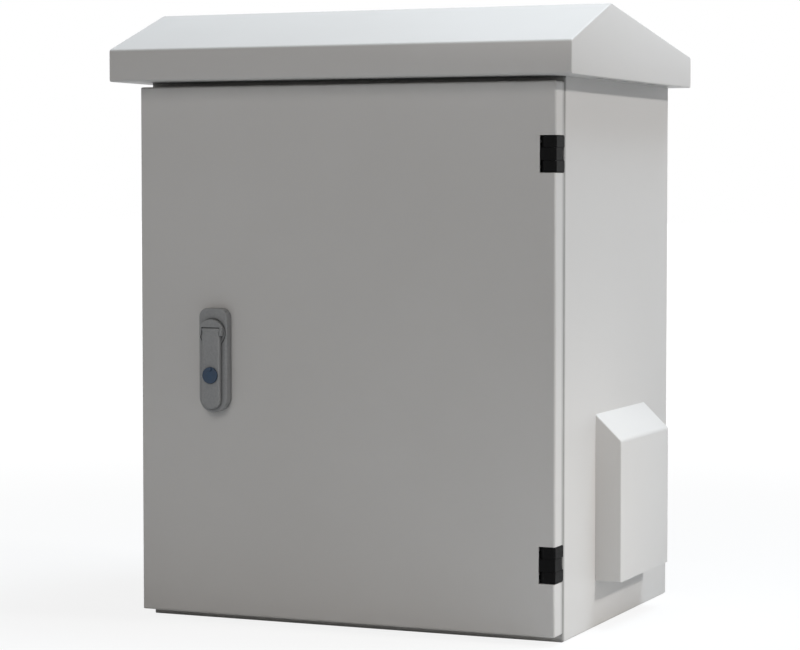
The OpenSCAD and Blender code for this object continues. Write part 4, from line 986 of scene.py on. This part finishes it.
def threaded_rod(radius, length, pitch=1.25):
    """An upright rod with thread rings, from zero up."""
    rod = bar("rod", (0, 0, length / 2), length, radius, "z", 24)
    turns = int(length / pitch)
    step = length / (2 * turns)
    pick(rod, "EDGE", lambda a, b: not near(a.z, b.z))
    bpy.ops.mesh.subdivide(number_cuts=2 * turns - 1)
    pick(rod, "VERT", lambda at: round(at.z / step) % 2 == 0)
    bpy.ops.transform.resize(value=(0.86, 0.86, 1), center_override=(0, 0, 0))
    bpy.ops.object.mode_set(mode="OBJECT")
    return rod


def stud(radius, length, collar_radius, collar_length, below=0.0):
    """An upright threaded rod that stands on a round collar."""
    seat = bar("collar", (0, 0, collar_length / 2 - below), collar_length, collar_radius, "z", 40)
    round_edges(seat, 0.4, 2, lambda a, b: near(a.z, b.z))
    return join("stud", seat, threaded_rod(radius, length))


plate_rods = copies("plate_stud_set", stud(4, 12.5, 8, 20, below=20), [(x, 164.5, z) for x, z in stud_corners],
                    HEAD_FRONT)
hand_over(plate_rods, zinc_bolt, "zinc_fastener", "cabinet", "plate_studs", smooth=25)
door_rod = copies("door_stud", stud(3, 15, 5, 1.2), [(174, DOOR_INSIDE, 76)], HEAD_BACK)
hand_over(door_rod, zinc_bolt, "zinc_fastener", "door", "door_earth_stud", smooth=25)

# %% [markdown]
# Blind rivets hold the hood. Inside the box each shows a low dome, and under the hood its upset tail.

# %% Hood rivets
dome = bar("dome", (0, 0, 0.6), 1.2, 4, "z", 32)
round_edges(dome, 1.0, 5, lambda a, b: near(a.z, 1.2) and near(b.z, 1.2))
stem = bar("stem", (0, 0, -1.9), 4, 2, "z", 24)
round_edges(stem, 0.2, 2, lambda a, b: near(a.z, b.z))
tail = bar("tail", (0, 0, -3.75), 1.5, 3.2, "z", 32)
round_edges(tail, 0.9, 4, lambda a, b: near(a.z, -4.5) and near(b.z, -4.5))
rivets = copies("hood_rivet_set", join("rivet", dome, stem, tail),
                [(248.5, VENT_Y + 80.5 * s, z) for s in (-1, 1) for z in (72, 131, 190)], HEAD_LEFT)
hand_over(rivets, zinc_bolt, "zinc_fastener", "cabinet", "hood_rivets")

# %% [markdown]
# ## Filter mat and fan
# The mat in the filter frame is a thick felt of fibres, soft and uneven. A block with rounded edges is divided
# finely and pushed about by a cloud pattern. It only moves across the mat, so it stays in its frame.

# %% Filter mat
mat = block("filter_mat", (237.4, -40.5, 87.5), (247.6, 56.5, 184.5))
round_edges(mat, 1.6, 3, lambda a, b: True)
pick(mat, "FACE", lambda at, normal: abs(normal.x) > 0.9)
bpy.ops.mesh.subdivide(number_cuts=40)
clouds = bpy.data.textures.new("felt_clouds", "CLOUDS")
clouds.noise_scale = 0.007
clouds.noise_depth = 3
apply(mat, "DISPLACE", texture=clouds, direction="X", texture_coords="LOCAL", strength=1.8 * MM)
hand_over(mat, fibre, "filter_mat", "cabinet", "vent_filter", smooth=70)

# %% [markdown]
# The rotor's blades are curved and twisted: steep at the hub, flatter at the tip. One blade is a thin block that is
# divided, pushed into a curve row by row and twisted by a modifier. Its tip is trimmed round, and then it is copied
# round the hub.

# %% Fan rotor
FAN = (215.5, VENT_Y, VENT_Z)
BLADES, BLADE_HALF, BLADE_CURVE, STEPS = 7, 14, 2.4, 8

blade = block("blade", (-0.8, -BLADE_HALF, 18.5), (0.8, BLADE_HALF, 58))
pick(blade, "EDGE", lambda a, b: not near(a.z, b.z) or not near(a.y, b.y))
bpy.ops.mesh.subdivide(number_cuts=STEPS - 1)
for row in range(STEPS + 1):
    share = 2 * row / STEPS - 1
    pick(blade, "VERT", lambda at: near(at.y, share * BLADE_HALF))
    bpy.ops.transform.translate(value=((1.0 - share ** 2) * BLADE_CURVE * MM, 0, 0))
only(blade)
blade.rotation_euler = (0, 0, math.radians(55))
blade = settle(blade, "blade")
apply(blade, "SIMPLE_DEFORM", deform_method="TWIST", deform_axis="Z", angle=math.radians(-17))
cut(blade, bar("tip_tool", (0, 0, 0), 60, 56.0, "x", 128), operation="INTERSECT")
blades = copies("blades", blade, [FAN] * BLADES, [(2 * math.pi * i / BLADES, 0, 0) for i in range(BLADES)])
hub = bar("hub", FAN, 26, 20, "x", 64)
round_edges(hub, 2.0, 4, lambda a, b: near(a.x, b.x))
pick(hub, "FACE", lambda at, normal: normal.x < -0.99)
bpy.ops.mesh.inset(thickness=3.5 * MM)
bpy.ops.transform.translate(value=(0.8 * MM, 0, 0))
shaft = bar("shaft", (231, VENT_Y, VENT_Z), 8, 3, "x", 24)
round_edges(shaft, 0.4, 2, lambda a, b: near(a.x, b.x))
wheel = join("fan_wheel", hub, shaft, blades)
hand_over(wheel, fan_black, "fan_plastic", "rotor", "fan_rotor")
